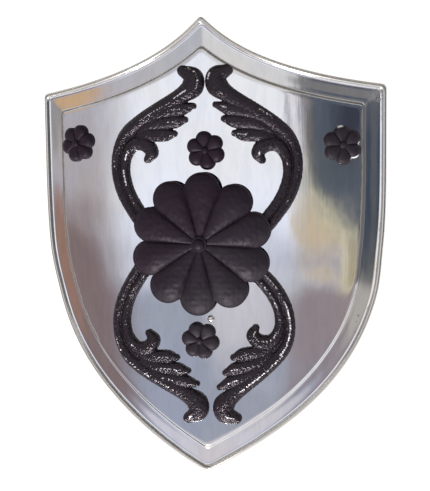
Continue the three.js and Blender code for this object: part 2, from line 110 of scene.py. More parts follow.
class SheetSizes(bpy.types.PropertyGroup):
    """Outline, section and finish of the rolled steel sheet."""

    height: length("Height", "Top point to foot point before the points are rounded", 0.612)
    half_width: length("Half width", "Half the width of the sheet before it is rolled", 0.242)
    side_bow: length("Side bow", "How far the lower half bows to the right", 0.0034)
    bend_radius: length("Bend radius", "Outside radius of the rolled sheet", 0.706)
    thickness: length("Thickness", "Thickness of the steel", 0.0012)
    shoulder_drop: length("Shoulder drop", "Top point down to the shoulder corners", 0.0936)
    point_slope: angle("Point slope", "Slope of the top edge at the top point", 44)
    point_pull: length("Point pull", "How far the top edge keeps that slope", 0.0395)
    shoulder_slope: angle("Shoulder slope", "Slope of the top edge at the shoulder", 6.8)
    shoulder_pull: length("Shoulder pull", "How far the top edge keeps that slope", 0.167)
    straight_side: length("Straight side", "Upright stretch below each shoulder", 0.084)
    side_pull: length("Side pull", "How far the side goes on down before it sweeps in", 0.179)
    foot_slope: angle("Foot slope", "Slope at which the sides meet at the foot", 29)
    foot_pull: length("Foot pull", "How far the side keeps that slope", 0.276)
    point_rounding: length("Point rounding", "How far back from a corner its rounding starts", 0.006)
    bead_radius: length("Bead radius", "Radius of the rolled rim", 0.0031)
    bead_lift: length("Bead lift", "Centre of the bead above the front of the band", 0.0008)
    band_width: length("Band width", "From the bead to the foot of the pressed step", 0.0219)
    band_fall: length("Band fall", "How much the band drops towards the bead", 0.0012)
    step_width: length("Step width", "Width of the pressed step", 0.003)
    step_rise: length("Step rise", "Height of the raised middle above the band", 0.0025)
    wave_height: length("Waves", "Unevenness that the hammer and the buffing wheel left", 0.00010)
    steel: colour("Steel", "Colour of the buffed steel", (0.74, 0.75, 0.78))
    warm_steel: colour("Warm steel", "Colour where the steel has yellowed a little", (0.74, 0.70, 0.63))
    # grime colour: the dirt in the pits and the corner, and the painted shade in the groove and crease
    grime_and_shade: colour("Grime", "Colour of the dirt in the creases", (0.055, 0.042, 0.034))
    roughness: share("Roughness", "Roughness of the buffed steel", 0.045)


class OrnamentSizes(bpy.types.PropertyGroup):
    """Sizes and finish of the black castings."""

    scroll_crest: length("Scroll crest", "Height of a stem above the casting's back", 0.0074)
    scroll_edge: length("Scroll edge", "Upright edge below the rounded ridges", 0.0016)
    scroll_reach: length("Scroll reach", "Middle of the shield to the top of a scroll's head", 0.237)
    web_thickness: length("Web", "Thickness of the web between the leaves", 0.0032)
    cast_grain: length("Cast grain", "Height of the bumps that the sand mould left", 0.00016)
    rosette_petals: petal_count("Rosette petals", "Petals of the rosette", 10)
    rosette_radius: length("Rosette radius", "Reach of the rosette's petals", 0.0955)
    rosette_petal_end: length("Rosette petal end", "Radius of each rounded petal end", 0.024)
    rosette_bulge: length("Rosette bulge", "Height of a petal's crest above the rim", 0.009)
    rosette_wall: length("Rosette wall", "Thickness of the rosette", 0.0025)
    flower_petals: petal_count("Flower petals", "Petals of a small flower", 6)
    flower_radius: length("Flower radius", "Reach of a small flower's petals", 0.0258)
    flower_petal_end: length("Flower petal end", "Radius of each rounded petal end", 0.0108)
    flower_bulge: length("Flower bulge", "Height of a petal's crest above the rim", 0.006)
    casting: colour("Casting", "Colour of the black paint on the scrolls", (0.008, 0.005, 0.0075))
    satin: colour("Satin", "Colour of the satin black paint", (0.013, 0.006, 0.014))
    # dust colour, also used for the painted light on the right and foot side of the satin black
    dust_and_light: colour("Dust", "Colour of the dust on the satin black", (0.045, 0.046, 0.048))
    # colour of the painted highlights on the castings and on a flower's edge
    glint_colour: colour("Bare metal", "Colour where the paint is off", (0.88, 0.86, 0.87))


class StudioSettings(bpy.types.PropertyGroup):
    """Camera, floor and light."""

    camera_side: angle("Camera side", "How far the camera stands towards +X of the shield's face", 13.5)
    camera_rise: angle("Camera rise", "How far the camera stands towards the top point", 5)
    camera_roll: angle("Camera roll", "How far the camera is rolled", 0.8)
    camera_distance: length("Camera distance", "From the shield's face to the camera", 1.324)
    floor: colour("Floor", "Colour of the floor", (0.2, 0.2, 0.2))
    sky: colour("Sky", "Colour of the soft light all round", (1, 1, 1))


# Flat outline of the sheet


def cubic(corners, t):
    """Cubic curve: its four corners weighted by (1-t)^3, 3t(1-t)^2, 3t^2(1-t) and t^3."""
    t = t[:, None]
    a, b, c, d = (np.asarray(corner) for corner in corners)
    return (1 - t) ** 3 * a + 3 * t * (1 - t) ** 2 * b + 3 * t**2 * (1 - t) * c + t**3 * d


def moved_inwards(line, inset):
    """A line moved sideways by the inset, along the normal to its right as it runs."""
    along = np.gradient(line, axis=0, edge_order=2)
    along /= np.linalg.norm(along, axis=1)[:, None]
    return line + inset * np.column_stack([along[:, 1], -along[:, 0]])


def between(line, low, high):
    """The part of a line, given with x rising, that lies between two x values."""
    ends = np.interp([low, high], line[:, 0], line[:, 1])
    inner = line[(line[:, 0] > low) & (line[:, 0] < high)]
    return np.vstack([[low, ends[0]], inner, [high, ends[1]]])


def spaced(line, trim, steps):
    """Evenly spaced points along a line, from one trim after its start to one before its end."""
    run = np.concatenate([[0], np.cumsum(np.linalg.norm(np.diff(line, axis=0), axis=1))])
    want = np.linspace(trim, run[-1] - trim, steps + 1)
    return np.column_stack([np.interp(want, run, line[:, 0]), np.interp(want, run, line[:, 1])])


def rounding(before, corner, after, start, end):
    """Quadratic curve round a corner, from share start to share end, without its last point."""
    t = np.linspace(start, end, CORNER_STEPS + 1)[:-1, None]
    return (1 - t) ** 2 * before + 2 * t * (1 - t) * corner + t**2 * after


BOW_START = 70 * MM             # stretch below the middle over which the bow grows
BOW_END = 120 * MM              # stretch above the foot point over which it fades out


def outline(sheet, inset):
    """The shield's outline moved inwards, as a closed ring that starts at the top point.

    A hollow cubic curve runs from the top point to the shoulder. The side drops straight, then
    follows a second cubic curve to the foot point. The left half mirrors the right one, and then
    the lower half bows a little to the right.
    """
    top_y = sheet.height / 2
    shoulder_y = top_y - sheet.shoulder_drop
    side_y = shoulder_y - sheet.straight_side
    leave, arrive, foot = sheet.point_slope, sheet.shoulder_slope, sheet.foot_slope
    side_x = sheet.half_width - inset
    t = np.linspace(0, 1, EDGE_SAMPLES)
    top = cubic([
        (0, top_y),
        (sheet.point_pull * math.cos(leave), top_y - sheet.point_pull * math.sin(leave)),
        (sheet.half_width - sheet.shoulder_pull * math.cos(arrive),
         shoulder_y + sheet.shoulder_pull * math.sin(arrive)),
        (sheet.half_width, shoulder_y),
    ], t)
    side = cubic([
        (sheet.half_width, side_y),
        (sheet.half_width, side_y - sheet.side_pull),
        (sheet.foot_pull * math.cos(foot), sheet.foot_pull * math.sin(foot) - top_y),
        (0, -top_y),
    ], t)
    top = between(moved_inwards(top, inset), 0, side_x)
    side = between(moved_inwards(side, inset)[::-1], 0, side_x)[::-1]
    side = np.vstack([[side_x, top[-1, 1]], side])
    top_run = spaced(top, sheet.point_rounding, TOP_EDGE_STEPS)
    side_run = spaced(side, sheet.point_rounding, SIDE_STEPS)
    flip = np.array([-1, 1])
    half = np.vstack([
        rounding(top_run[0] * flip, top[0], top_run[0], 0.5, 1),
        top_run[:-1],
        rounding(top_run[-1], top[-1], side_run[0], 0, 1),
        side_run[:-1],
        rounding(side_run[-1], side[-1], side_run[-1] * flip, 0, 0.5),
        rounding(side_run[-1], side[-1], side_run[-1] * flip, 0.5, 1)[:1],
    ])
    ring = np.vstack([half, half[-2:0:-1] * flip])
    ring[:, 0] += sheet.side_bow * eased(-ring[:, 1], 0, BOW_START) * eased(top_y + ring[:, 1], 0, BOW_END)
    return ring


# Rolling, tipping and setting down


def rolled(points, bend_radius):
    """Flat points rolled round the upright axis that lies bend_radius behind the sheet's front.

    The angle round the axis is x over the radius, and h adds to the radius.
    """
    turn = points[..., 0] / bend_radius
    reach = bend_radius + points[..., 2]
    return np.stack([reach * np.sin(turn), points[..., 1], reach * np.cos(turn) - bend_radius], axis=-1)


def tipped(points):
    """Points turned round the X axis by the resting lean."""
    c, s = math.cos(REST_LEAN), math.sin(REST_LEAN)
    y, z = points[..., 1], points[..., 2]
    return np.stack([points[..., 0], c * y - s * z, s * y + c * z], axis=-1)


def resting_place(sheet):
    """How far the tipped shield is moved so that its rim stands where the frame's plate stands."""
    low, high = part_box("shield_plate")
    around = np.linspace(0, 2 * np.pi, BEAD_STEPS)
    rings = []
    for a in around:
        ring = outline(sheet, sheet.bead_radius * (1 + math.cos(a)))
        height = sheet.bead_lift + sheet.bead_radius * math.sin(a)
        rings.append(np.column_stack([ring, np.full(len(ring), height)]))
    rim = tipped(rolled(np.vstack(rings), sheet.bend_radius))
    middle = (rim[:, 1].min() + rim[:, 1].max()) / 2
    return np.array([0, (low.y + high.y) / 2 - middle, low.z - rim[:, 2].min()])


def laid(points, sheet):
    """Flat points rolled, tipped and set down in the frame."""
    return tipped(rolled(points, sheet.bend_radius)) + resting_place(sheet)


# Meshes


def skin(rows, columns, closed_rows=False):
    """Quads that join rings of equal length. The last ring may close onto the first."""
    here = np.arange(rows if closed_rows else rows - 1)[:, None] * columns
    up = (here + columns) % (rows * columns)
    i = np.arange(columns)[None, :]
    j = (i + 1) % columns
    return np.stack([here + i, here + j, up + j, up + i], axis=-1).reshape(-1, 4)


def fan(ring, pole):
    """Triangles from one pole to a closed ring of point numbers."""
    return np.column_stack([ring, np.full(len(ring), pole), np.roll(ring, -1)])


def closed_shell(rings, closed_rows=False):
    """Points, quads and triangles of a closed skin over rings, its open ends closed by poles."""
    rows, columns, _ = rings.shape
    points = rings.reshape(-1, 3)
    quads = skin(rows, columns, closed_rows)
    triangles = np.empty((0, 3), int)
    if not closed_rows:
        points = np.vstack([points, rings[0].mean(axis=0), rings[-1].mean(axis=0)])
        first = np.arange(columns)
        last = first + (rows - 1) * columns
        triangles = np.vstack([
            fan(first, rows * columns),
            fan(last[::-1], rows * columns + 1),
        ])
    return points, quads, triangles


def volume(points, quads, triangles):
    """Signed volume inside a closed mesh: a sixth of the sum of a . (b x c) over its triangles."""
    corners = np.vstack([quads[:, [0, 1, 2]], quads[:, [0, 2, 3]], triangles])
    a, b, c = (points[corners[:, k]] for k in range(3))
    return np.einsum("ij,ij->", a, np.cross(b, c)) / 6


def outward(shell):
    """The same shell with its faces pointing outwards."""
    points, quads, triangles = shell
    if volume(points - points.mean(axis=0), quads, triangles) < 0:
        return points, quads[:, ::-1], triangles[:, ::-1]
    return shell


def new_mesh(name, points, quads, triangles):
    """A mesh of quads and triangles whose faces point outwards."""
    points, quads, triangles = outward((points, quads, triangles))
    mesh = bpy.data.meshes.new(name)
    mesh.vertices.add(len(points))
    mesh.vertices.foreach_set("co", points.astype(np.float32).ravel())
    corners = np.concatenate([quads.ravel(), triangles.ravel()])
    mesh.loops.add(len(corners))
    mesh.loops.foreach_set("vertex_index", corners.astype(np.int32))
    starts = np.concatenate([
        np.arange(len(quads)) * 4,
        len(quads) * 4 + np.arange(len(triangles)) * 3,
    ])
    mesh.polygons.add(len(starts))
    mesh.polygons.foreach_set("loop_start", starts.astype(np.int32))
    mesh.polygons.foreach_set("use_smooth", np.ones(len(starts), bool))
    mesh.update(calc_edges=True)
    mesh.validate()
    return mesh


def new_piece(name, mesh, material, slot, *nodes):
    """An object of the shield that rides with it, in its material, in place of its CAD nodes."""
    piece = bpy.data.objects.new(name, mesh)
    bpy.context.scene.collection.objects.link(piece)
    mesh.materials.append(material)
    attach(piece, "root")
    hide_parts(*nodes)
    return piece


def point_values(mesh, name, values):
    """Stores one number for each vertex as a named attribute."""
    mesh.attributes.new(name, "FLOAT", "POINT").data.foreach_set("value", values.astype(np.float32))


def ripples(points, seed, shortest, longest, count=18):
    """Uneven swell: sine waves of seeded directions, wavelengths and phases, added up."""
    draw = np.random.default_rng(seed)
    direction = draw.normal(size=(count, points.shape[1]))
    direction /= np.linalg.norm(direction, axis=1)[:, None]
    wave = 2 * np.pi / draw.uniform(shortest, longest, count)
    phase = draw.uniform(0, 2 * np.pi, count)
    return np.sin(points @ (direction * wave[:, None]).T + phase).sum(axis=1) / math.sqrt(count / 2)


def eased(x, low, high):
    """0 below low, 1 above high, and 3t^2 - 2t^3 between them."""
    t = np.clip((x - low) / (high - low), 0, 1)
    return t * t * (3 - 2 * t)


# Steel sheet

CREASE_EASE = 0.9 * MM          # how far the rounded step runs over each side
BAND_STEPS = 7
STEP_STEPS = 13

WAVE_SEED = 7
WAVE_LENGTHS = (70 * MM, 190 * MM)
WAVE_FADE = (12 * MM, 50 * MM)  # distances from the edge between which the waves set in

# Painted shade with some dirt beside the rim and on the pressed step, which lies thicker on the long sides
GROOVE_REACH = 0.8 * MM
CREASE_MIDDLE = 1.3 * MM
CREASE_SHIFT = 0.7 * MM
CREASE_REACH = 0.65 * MM
CREASE_SPREAD = 1.5 * MM
CREASE_GAIN = 0.8
SIDE_FADE = (20 * MM, 35 * MM)  # distances below the shoulder between which the long side sets in


def sheet_section(sheet):
    """Inset, front height and back height from the pressed step outwards to the bead."""
    band_end = 2 * sheet.bead_radius + sheet.band_width
    step_end = band_end + sheet.step_width
    foot = sheet.bead_radius * (1 + math.cos(math.asin(sheet.bead_lift / sheet.bead_radius)))
    step = np.linspace(step_end + CREASE_EASE, band_end - CREASE_EASE, STEP_STEPS)
    band = np.linspace(band_end - CREASE_EASE, foot, BAND_STEPS)[1:]
    inset = np.concatenate([step, band])
    rise = sheet.step_rise * eased(inset, band_end - CREASE_EASE, step_end + CREASE_EASE)
    fall = sheet.band_fall * (1 - eased(inset, foot, band_end))
    front = rise - fall
    return inset, front, front - sheet.thickness


def sheet_rings(sheet):
    """Rings from the middle of the front, over the bead, to the middle of the back.

    The raised middle is the outline at the step, shrunk towards the centre. Each further ring is
    the outline at one inset. The bead is a circle in section.
    """
    inset, front, back = sheet_section(sheet)
    edge = outline(sheet, inset[0])
    rings, insets = [], []

    def add_ring(ring, height, depth):
        rings.append(np.column_stack([ring, np.full(len(ring), height)]))
        insets.append(np.full(len(ring), depth))

    reach = sheet.half_width - inset[0]
    for part in np.linspace(0, 1, PANEL_RINGS + 1)[1:-1]:
        add_ring(edge * part, front[0], inset[0] + reach * (1 - part))
    for depth, height in zip(inset, front):
        add_ring(outline(sheet, depth), height, depth)
    radius, lift = sheet.bead_radius, sheet.bead_lift
    start = math.asin(np.clip((front[-1] - lift) / radius, -1, 1))
    end = 2 * math.pi - math.asin(np.clip((lift - back[-1]) / radius, -1, 1))
    for a in np.linspace(start, end, BEAD_STEPS + 1)[1:-1]:
        add_ring(outline(sheet, radius * (1 + math.cos(a))), lift + radius * math.sin(a), 0)
    for depth, height in zip(inset[::-1], back[::-1]):
        add_ring(outline(sheet, depth), height, -depth)
    for part in np.linspace(1, 0, BACK_RINGS + 1)[1:-1]:
        add_ring(edge * part, back[0], -inset[0] - reach * (1 - part))
    return np.array(rings), np.array(insets)


def build_sheet(sheet, material):
    """The rolled sheet, with its waves and the marks that its finish follows."""
    rings, insets = sheet_rings(sheet)
    flat = rings.reshape(-1, 3)
    depth = insets.ravel()
    waves = sheet.wave_height * ripples(flat[:, :2], WAVE_SEED, *WAVE_LENGTHS)
    rings = rings.copy()
    rings[..., 2] += (waves * eased(np.abs(depth), *WAVE_FADE)).reshape(insets.shape)
    points, quads, triangles = closed_shell(rings)
    mesh = new_mesh("rolled_sheet", laid(points, sheet), quads, triangles)
    band_end = 2 * sheet.bead_radius + sheet.band_width
    groove = np.exp(-((depth - 2 * sheet.bead_radius) / GROOVE_REACH) ** 2)
    shoulder_y = sheet.height / 2 - sheet.shoulder_drop
    on_side = eased(shoulder_y - flat[:, 1], *SIDE_FADE)
    middle = band_end + CREASE_MIDDLE + CREASE_SHIFT * on_side
    crease = np.exp(-((depth - middle) / (CREASE_REACH + CREASE_SPREAD * on_side)) ** 2)
    crease *= 1 + CREASE_GAIN * on_side
    bead = (depth == 0).astype(float)
    for name, values in (("groove", groove), ("crease", crease), ("bead", bead)):
        point_values(mesh, name, np.concatenate([values, np.zeros(2)]))
    return new_piece("rolled_sheet", mesh, material, "polished_steel", "shield_plate")


# Scroll casting, drawn in millimetres as the upper right one

DRAWN_REACH = 237
SCROLL_MIDDLE = np.array([75, 130])
RIDGE_SIDES = 22
OUTER_STEPS, INNER_STEPS, LEAF_STEPS = 170, 120, 50
TIP_ANGLES = (8, 86, 11)        # of the rings that round off a ridge's tip: first, last and number
NARROWEST = 0.6                 # half width as a share of the crest, below which a ridge is lower
SHORTEST_SPAN = 1e-4            # a shorter span of a curve counts as none

# Each stop gives x, y, half width and crest height.
OUTER = [
    (73, 6.5, 6, 7.4), (100.5, 43, 6.3, 7.4), (114.5, 66, 6.6, 7.4), (122.5, 90, 6.8, 7.4),
    (124, 112, 6.8, 7.4), (120, 132, 7, 7.4), (110, 149.5, 8, 7.8), (92, 164, 9, 8),
    (71, 177, 9.5, 8), (49, 189, 10, 8), (29, 200.5, 11, 8.6), (15.5, 212, 14.6, 9.4),
    (15, 223, 13.4, 9.2), (28.5, 231.5, 7.6, 7.4),
]
INNER = [
    (61, 13, 5.6, 6.8), (87.5, 45, 6, 6.8), (101, 65, 6.2, 6.8), (109.5, 86, 6.4, 6.8),
    (111.5, 106, 6.4, 6.8), (107, 124, 7.4, 7.2), (95, 136, 9.2, 8), (80, 134.5, 10, 8.8),
    (72, 124.5, 8.8, 8.4), (77.5, 115.5, 5.4, 6),
]
LEAVES = [
    [(92, 158, 5, 5), (62, 176, 8, 7.2), (33, 181.5, 9, 7.2), (15, 186, 4.4, 5.6)],
    [(92, 152, 5, 5), (68, 162, 8, 7), (42, 165, 9, 7), (26.5, 168, 4.6, 5.4)],
    [(94, 144, 5, 5), (76, 147.5, 8.8, 6.8), (55, 148, 9.2, 6.8), (41, 149.5, 4.6, 5.4)],
]
# The web spans from the outer ridge's middle line to the inner ridge's, and on to the notches
# between the leaves.
WEB_OUTSIDE = [stop[:2] for stop in OUTER[:11]]
WEB_INSIDE = [stop[:2] for stop in INNER[:7]] + [(68, 141), (46, 157), (33, 173), (25, 190)]
CAST_VOXEL = 0.65 * MM
CAST_SMOOTHING = 4

# How each scroll was set: mirror signs, turn in degrees, and millimetres moved.
SCROLL_PLACES = {
    "scroll_upper_left": ((-1, 1), -1.1, (2.2, 3.6)),
    "scroll_upper_right": ((1, 1), -2.3, (2.0, 0.9)),
    "scroll_lower_left": ((-1, -1), 2.9, (0, -1.4)),
    "scroll_lower_right": ((1, -1), 10.5, (-6.3, 9.1)),
}


def centripetal(stops, t):
    """Centripetal Catmull-Rom curve through the stops, each span a cubic of its two slopes."""
    stops = np.asarray(stops, float)
    ends = np.vstack([2 * stops[0] - stops[1], stops, 2 * stops[-1] - stops[-2]])
    at = t * (len(stops) - 1)
    k = np.minimum(at.astype(int), len(stops) - 2)
    w = (at - k)[:, None]
    a, b, c, d = (ends[k + step] for step in range(4))
    spans = ((a, b), (b, c), (c, d))
    before, here, after = (np.sqrt(np.linalg.norm(q - p, axis=1))[:, None] for p, q in spans)
    here = np.where(here < SHORTEST_SPAN, 1, here)
    before = np.where(before < SHORTEST_SPAN, here, before)
    after = np.where(after < SHORTEST_SPAN, here, after)
    slope_b = here * ((b - a) / before - (c - a) / (before + here) + (c - b) / here)
    slope_c = here * ((c - b) / here - (d - b) / (here + after) + (d - c) / after)
    return (b + slope_b * w + (3 * (c - b) - 2 * slope_b - slope_c) * w**2
            + (2 * (b - c) + slope_b + slope_c) * w**3)


def ridge_rings(stops, steps, edge):
    """A ridge carried along its stops: flat back, low upright edges, half-round top, round tip."""
    stops = np.asarray(stops, float)
    t = np.linspace(0, 1, steps + 1)
    tip = np.radians(np.linspace(*TIP_ANGLES))
    t = np.concatenate([t, np.ones(len(tip))])
    slide = np.concatenate([np.zeros(steps + 1), np.sin(tip)])
    shrink = np.concatenate([np.ones(steps + 1), np.cos(tip)])
    at = centripetal(stops[:, :2], t)
    nudge = 1e-4
    ahead, behind = np.minimum(t + nudge, 1), np.maximum(t - nudge, 0)
    along = centripetal(stops[:, :2], ahead) - centripetal(stops[:, :2], behind)
    along /= np.linalg.norm(along, axis=1)[:, None]
    half, crest = centripetal(stops[:, 2:], t).T
    at = at + along * (slide * half)[:, None]
    half = half * shrink
    across = np.column_stack([along[:, 1], -along[:, 0]])
    squeeze = np.minimum(1, half / (NARROWEST * crest))
    a = np.linspace(0, np.pi, RIDGE_SIDES + 1)
    side = np.concatenate([[1], np.cos(a), [-1]])
    rise = np.concatenate([[0], np.sin(a), [0]])
    foot = np.concatenate([[0], np.ones(len(a)), [0]]) * edge
    place = at[:, None, :] + across[:, None, :] * (half[:, None] * side)[..., None]
    height = foot + ((crest - edge) * squeeze)[:, None] * rise
    return np.concatenate([place, height[..., None]], axis=-1)


def joined(shells):
    """Several shells as one list of points, quads and triangles."""
    points, quads, triangles, start = [], [], [], 0
    for shell_points, shell_quads, shell_triangles in shells:
        points.append(shell_points)
        quads.append(shell_quads + start)
        triangles.append(shell_triangles + start)
        start += len(shell_points)
    return np.vstack(points), np.vstack(quads), np.vstack(triangles)


def mesh_arrays(mesh):
    """Points, normals, quads and triangles of a mesh."""
    points = np.empty(len(mesh.vertices) * 3, np.float32)
    mesh.vertices.foreach_get("co", points)
    normals = np.empty(len(mesh.vertices) * 3, np.float32)
    mesh.vertex_normals.foreach_get("vector", normals)
    starts = np.empty(len(mesh.polygons), np.int32)
    totals = np.empty(len(mesh.polygons), np.int32)
    corners = np.empty(len(mesh.loops), np.int32)
    mesh.polygons.foreach_get("loop_start", starts)
    mesh.polygons.foreach_get("loop_total", totals)
    mesh.loops.foreach_get("vertex_index", corners)
    quads = corners[starts[totals == 4][:, None] + np.arange(4)]
    triangles = corners[starts[totals == 3][:, None] + np.arange(3)]
    return points.reshape(-1, 3).astype(float), normals.reshape(-1, 3).astype(float), quads, triangles


def finished(points, quads, triangles, modifiers):
    """The mesh arrays after Blender modifiers, each a type and its settings, have run on a copy."""
    mesh = new_mesh("work", points, quads, triangles)
    work = bpy.data.objects.new("work", mesh)
    bpy.context.scene.collection.objects.link(work)
    for kind, settings in modifiers:
        modifier = work.modifiers.new(kind.lower(), kind)
        for key, value in settings.items():
            setattr(modifier, key, value)
    evaluated = work.evaluated_get(bpy.context.evaluated_depsgraph_get())
    made = mesh_arrays(evaluated.to_mesh())
    evaluated.to_mesh_clear()
    bpy.data.objects.remove(work)
    bpy.data.meshes.remove(mesh)
    return made


def scroll_casting(ornament):
    """The casting in its drawing's place: five swept ridges and a web, fused and softened."""
    edge = ornament.scroll_edge / MM
    shells = [
        outward(closed_shell(ridge_rings(OUTER, OUTER_STEPS, edge))),
        outward(closed_shell(ridge_rings(INNER, INNER_STEPS, edge))),
    ]
    shells += [outward(closed_shell(ridge_rings(leaf, LEAF_STEPS, edge))) for leaf in LEAVES]
    outside, inside = np.array(WEB_OUTSIDE, float), np.array(WEB_INSIDE, float)
    top = ornament.web_thickness / MM
    corners = [(outside, 0), (inside, 0), (inside, top), (outside, top)]
    web = [np.column_stack([line, np.full(len(line), height)]) for line, height in corners]
    shells.append(outward(closed_shell(np.stack(web, axis=1))))
    points, quads, triangles = joined(shells)
    return finished(points * MM, quads, triangles, [
        ("REMESH", {"mode": "VOXEL", "voxel_size": CAST_VOXEL, "adaptivity": 0.0}),
        ("SMOOTH", {"factor": 0.5, "iterations": CAST_SMOOTHING}),
    ])


# Painted highlights on each scroll, bright streaks along the crests: ridge, first and last stop,
# millimetres to the left of the ridge's middle line as it is drawn, and strength.
LEAF_A, LEAF_B, LEAF_C = LEAVES
GLINT_REACH = 1.5                 # half width of a painted highlight line, in the drawing's millimetres
GLINT_STEPS = 16                  # points of the line to a stop
GLINT_FADE = (0.3, 0.7)           # upward share of the surface's direction at which it sets in
PAINTED_GLINT_LINES = {
    "scroll_upper_left": (
        (OUTER, 11, 12.8, 7, 0.72), (OUTER, 9.5, 10.4, -1, 0.85), (OUTER, 7.2, 9.2, 1, 0.66),
        (OUTER, 3.6, 4.8, 0, 0.5), (INNER, 4.3, 5.2, 2, 0.85), (INNER, 2.7, 3.7, 1, 0.98),
        (INNER, 1.2, 2.2, 0, 0.5), (LEAF_A, 1.5, 2.6, 0, 0.62), (LEAF_B, 1.8, 2.4, 0, 0.5),
    ),
    "scroll_upper_right": (
        (OUTER, 11.6, 12.0, 9, 1), (OUTER, 10.2, 10.4, 3, 0.8), (OUTER, 7.3, 8, -4.5, 0.82),
        (OUTER, 3.2, 4.6, -1, 0.4), (OUTER, 1.7, 2.1, 0, 0.62), (INNER, 4.2, 4.5, 1, 0.66),
        (INNER, 7.8, 8.3, 2, 0.8), (LEAF_A, 2.2, 2.6, 0, 0.85), (LEAF_C, 1.9, 2.6, 0, 0.74),
    ),
    "scroll_lower_left": (
        (OUTER, 4.3, 5.4, -2, 0.66), (OUTER, 5.9, 9.2, -2, 0.66), (OUTER, 12.6, 12.8, 0, 1),
        (INNER, 1.3, 2, 0, 0.55), (INNER, 5.4, 5.8, 0, 0.74), (LEAF_A, 1, 1.7, 0, 0.62),
        (LEAF_B, 1.2, 2.3, 0, 0.74), (LEAF_C, 1.2, 2.4, 0, 0.68),
    ),
    "scroll_lower_right": (
        (OUTER, 0.6, 3, 0, 0.72), (OUTER, 3, 6.4, 0, 0.94), (OUTER, 6.4, 9.6, -2.5, 0.8),
        (OUTER, 10.6, 11.4, 0, 0.72), (OUTER, 12.2, 12.9, 0, 0.85), (INNER, 0.4, 5.2, 0, 0.6),
        (INNER, 5.2, 8.8, 2, 0.76), (LEAF_A, 1.7, 2.5, 0, 0.8), (LEAF_B, 1.9, 2.4, 0, 0.8),
        (LEAF_C, 1.6, 2.2, 0, 0.62),
    ),
}

GRAIN_LENGTHS = (2 * MM, 6 * MM)
GRAIN_WAVES = 40
GRAIN_FADE = (0.3 * MM, 2 * MM)  # heights above the flat back between which the grain sets in


def painted_glint_lines(points, marks):
    """1 on the middle of a strong painted highlight line of a scroll, falling off with the distance from
    it.
    """
    across, along = points[:, 0, None] / MM, points[:, 1, None] / MM
    strongest = np.zeros(len(points))
    for ridge, first, last, left, strength in marks:
        stops = np.linspace(first, last, 2 + int((last - first) * GLINT_STEPS))
        line = centripetal(ridge, stops / (len(ridge) - 1))[:, :2]
        way = np.gradient(line, axis=0)
        way /= np.linalg.norm(way, axis=1)[:, None]
        line = line + left * np.column_stack([-way[:, 1], way[:, 0]])
        away = np.min(np.hypot(across - line[:, 0], along - line[:, 1]), axis=1)
        strongest = np.maximum(strongest, strength * np.exp(-(away / GLINT_REACH) ** 2))
    return strongest


def build_scrolls(sheet, ornament, material):
    """The four scrolls: one casting mirrored into each quarter, turned and moved a little."""
    scale = ornament.scroll_reach / (DRAWN_REACH * MM)
    points, normals, quads, triangles = scroll_casting(ornament)
    back = sheet.step_rise + SEAT_GAP
    for name, (mirror, turn, moved) in SCROLL_PLACES.items():
        mirror = np.array(mirror)
        c, s = math.cos(math.radians(turn)), math.sin(math.radians(turn))
        grain = ornament.cast_grain * ripples(points, len(name), *GRAIN_LENGTHS, GRAIN_WAVES)
        bumped = points + normals * (grain * eased(points[:, 2], *GRAIN_FADE))[:, None]
        flat = (bumped[:, :2] * scale - SCROLL_MIDDLE * MM) * mirror @ np.array([[c, s], [-s, c]])
        flat += (SCROLL_MIDDLE * mirror + moved) * MM
        height = np.maximum(bumped[:, 2], 0) + back
        mesh = new_mesh(name, laid(np.column_stack([flat, height]), sheet), quads, triangles)
        # painted highlights: bright streaks on the upward-facing crests
        marks = painted_glint_lines(points, PAINTED_GLINT_LINES[name]) * eased(normals[:, 2], *GLINT_FADE)
        point_values(mesh, "painted_glint_lines", marks)
        new_piece(name + "_casting", mesh, material, "black_casting", name)


# Rosette and small flowers


class FlowerShape:
    """Sizes of one flower in the flat sheet."""

    def __init__(
        self, petals, radius, petal_end, rim, bulge, valley, hub_rise, hub_radius, hole, back, wall
    ):
        self.petals, self.radius, self.petal_end, self.rim = petals, radius, petal_end, rim
        self.bulge, self.valley, self.hub_rise, self.hub_radius = bulge, valley, hub_rise, hub_radius
        self.hole, self.back, self.wall = hole, back, wall


# Shape of a petal's top, with lengths as shares of the petal's reach
ARCH_POWER = 0.55               # fullness of the arch across it
SWELL_GAIN = 1.15               # how soon the crest is at its full height
SWELL_POWER = 6                 # how late the crest falls towards the petal's end
HUB_REACH = 0.45
FLANGE = 0.978                  # where its thin flat edge starts
FLANGE_POWER = 8


def petal_reach(shape, across):
    """Radius of the outline: the far side of a circle of the petal's end, centred on the petal."""
    turn = across * np.pi / shape.petals
    middle = shape.radius - shape.petal_end
    return middle * np.cos(turn) + np.sqrt(shape.petal_end**2 - (middle * np.sin(turn)) ** 2)


def flower_top(shape, part, across):
    """Height at a share of the petal's reach: an arch across the petal, rising from the hub."""
    arch = np.maximum(0, 1 - across**2) ** ARCH_POWER
    rise = np.sin(np.pi * np.minimum(1, part * SWELL_GAIN) / 2)
    swell = rise * np.sqrt(np.maximum(0, 1 - part**SWELL_POWER))
    crest = shape.valley + (shape.bulge - shape.valley) * arch * swell
    hub = shape.hub_rise * np.maximum(0, 1 - part / HUB_REACH) ** 2
    ends = np.sqrt(np.maximum(0, 1 - (part / FLANGE) ** FLANGE_POWER))
    return shape.rim + np.maximum(crest, hub) * ends


def hub_seat(shape):
    """Height at which a rivet's collar sits on the hub."""
    return flower_top(shape, np.array(shape.hub_radius / shape.radius), np.array(0.0)) + SEAT_GAP


RING_CROWDING = 1.6             # how much closer the rings lie towards a petal's end
WALL_START = 0.96               # share of the reach where the inside of a hollow flower starts


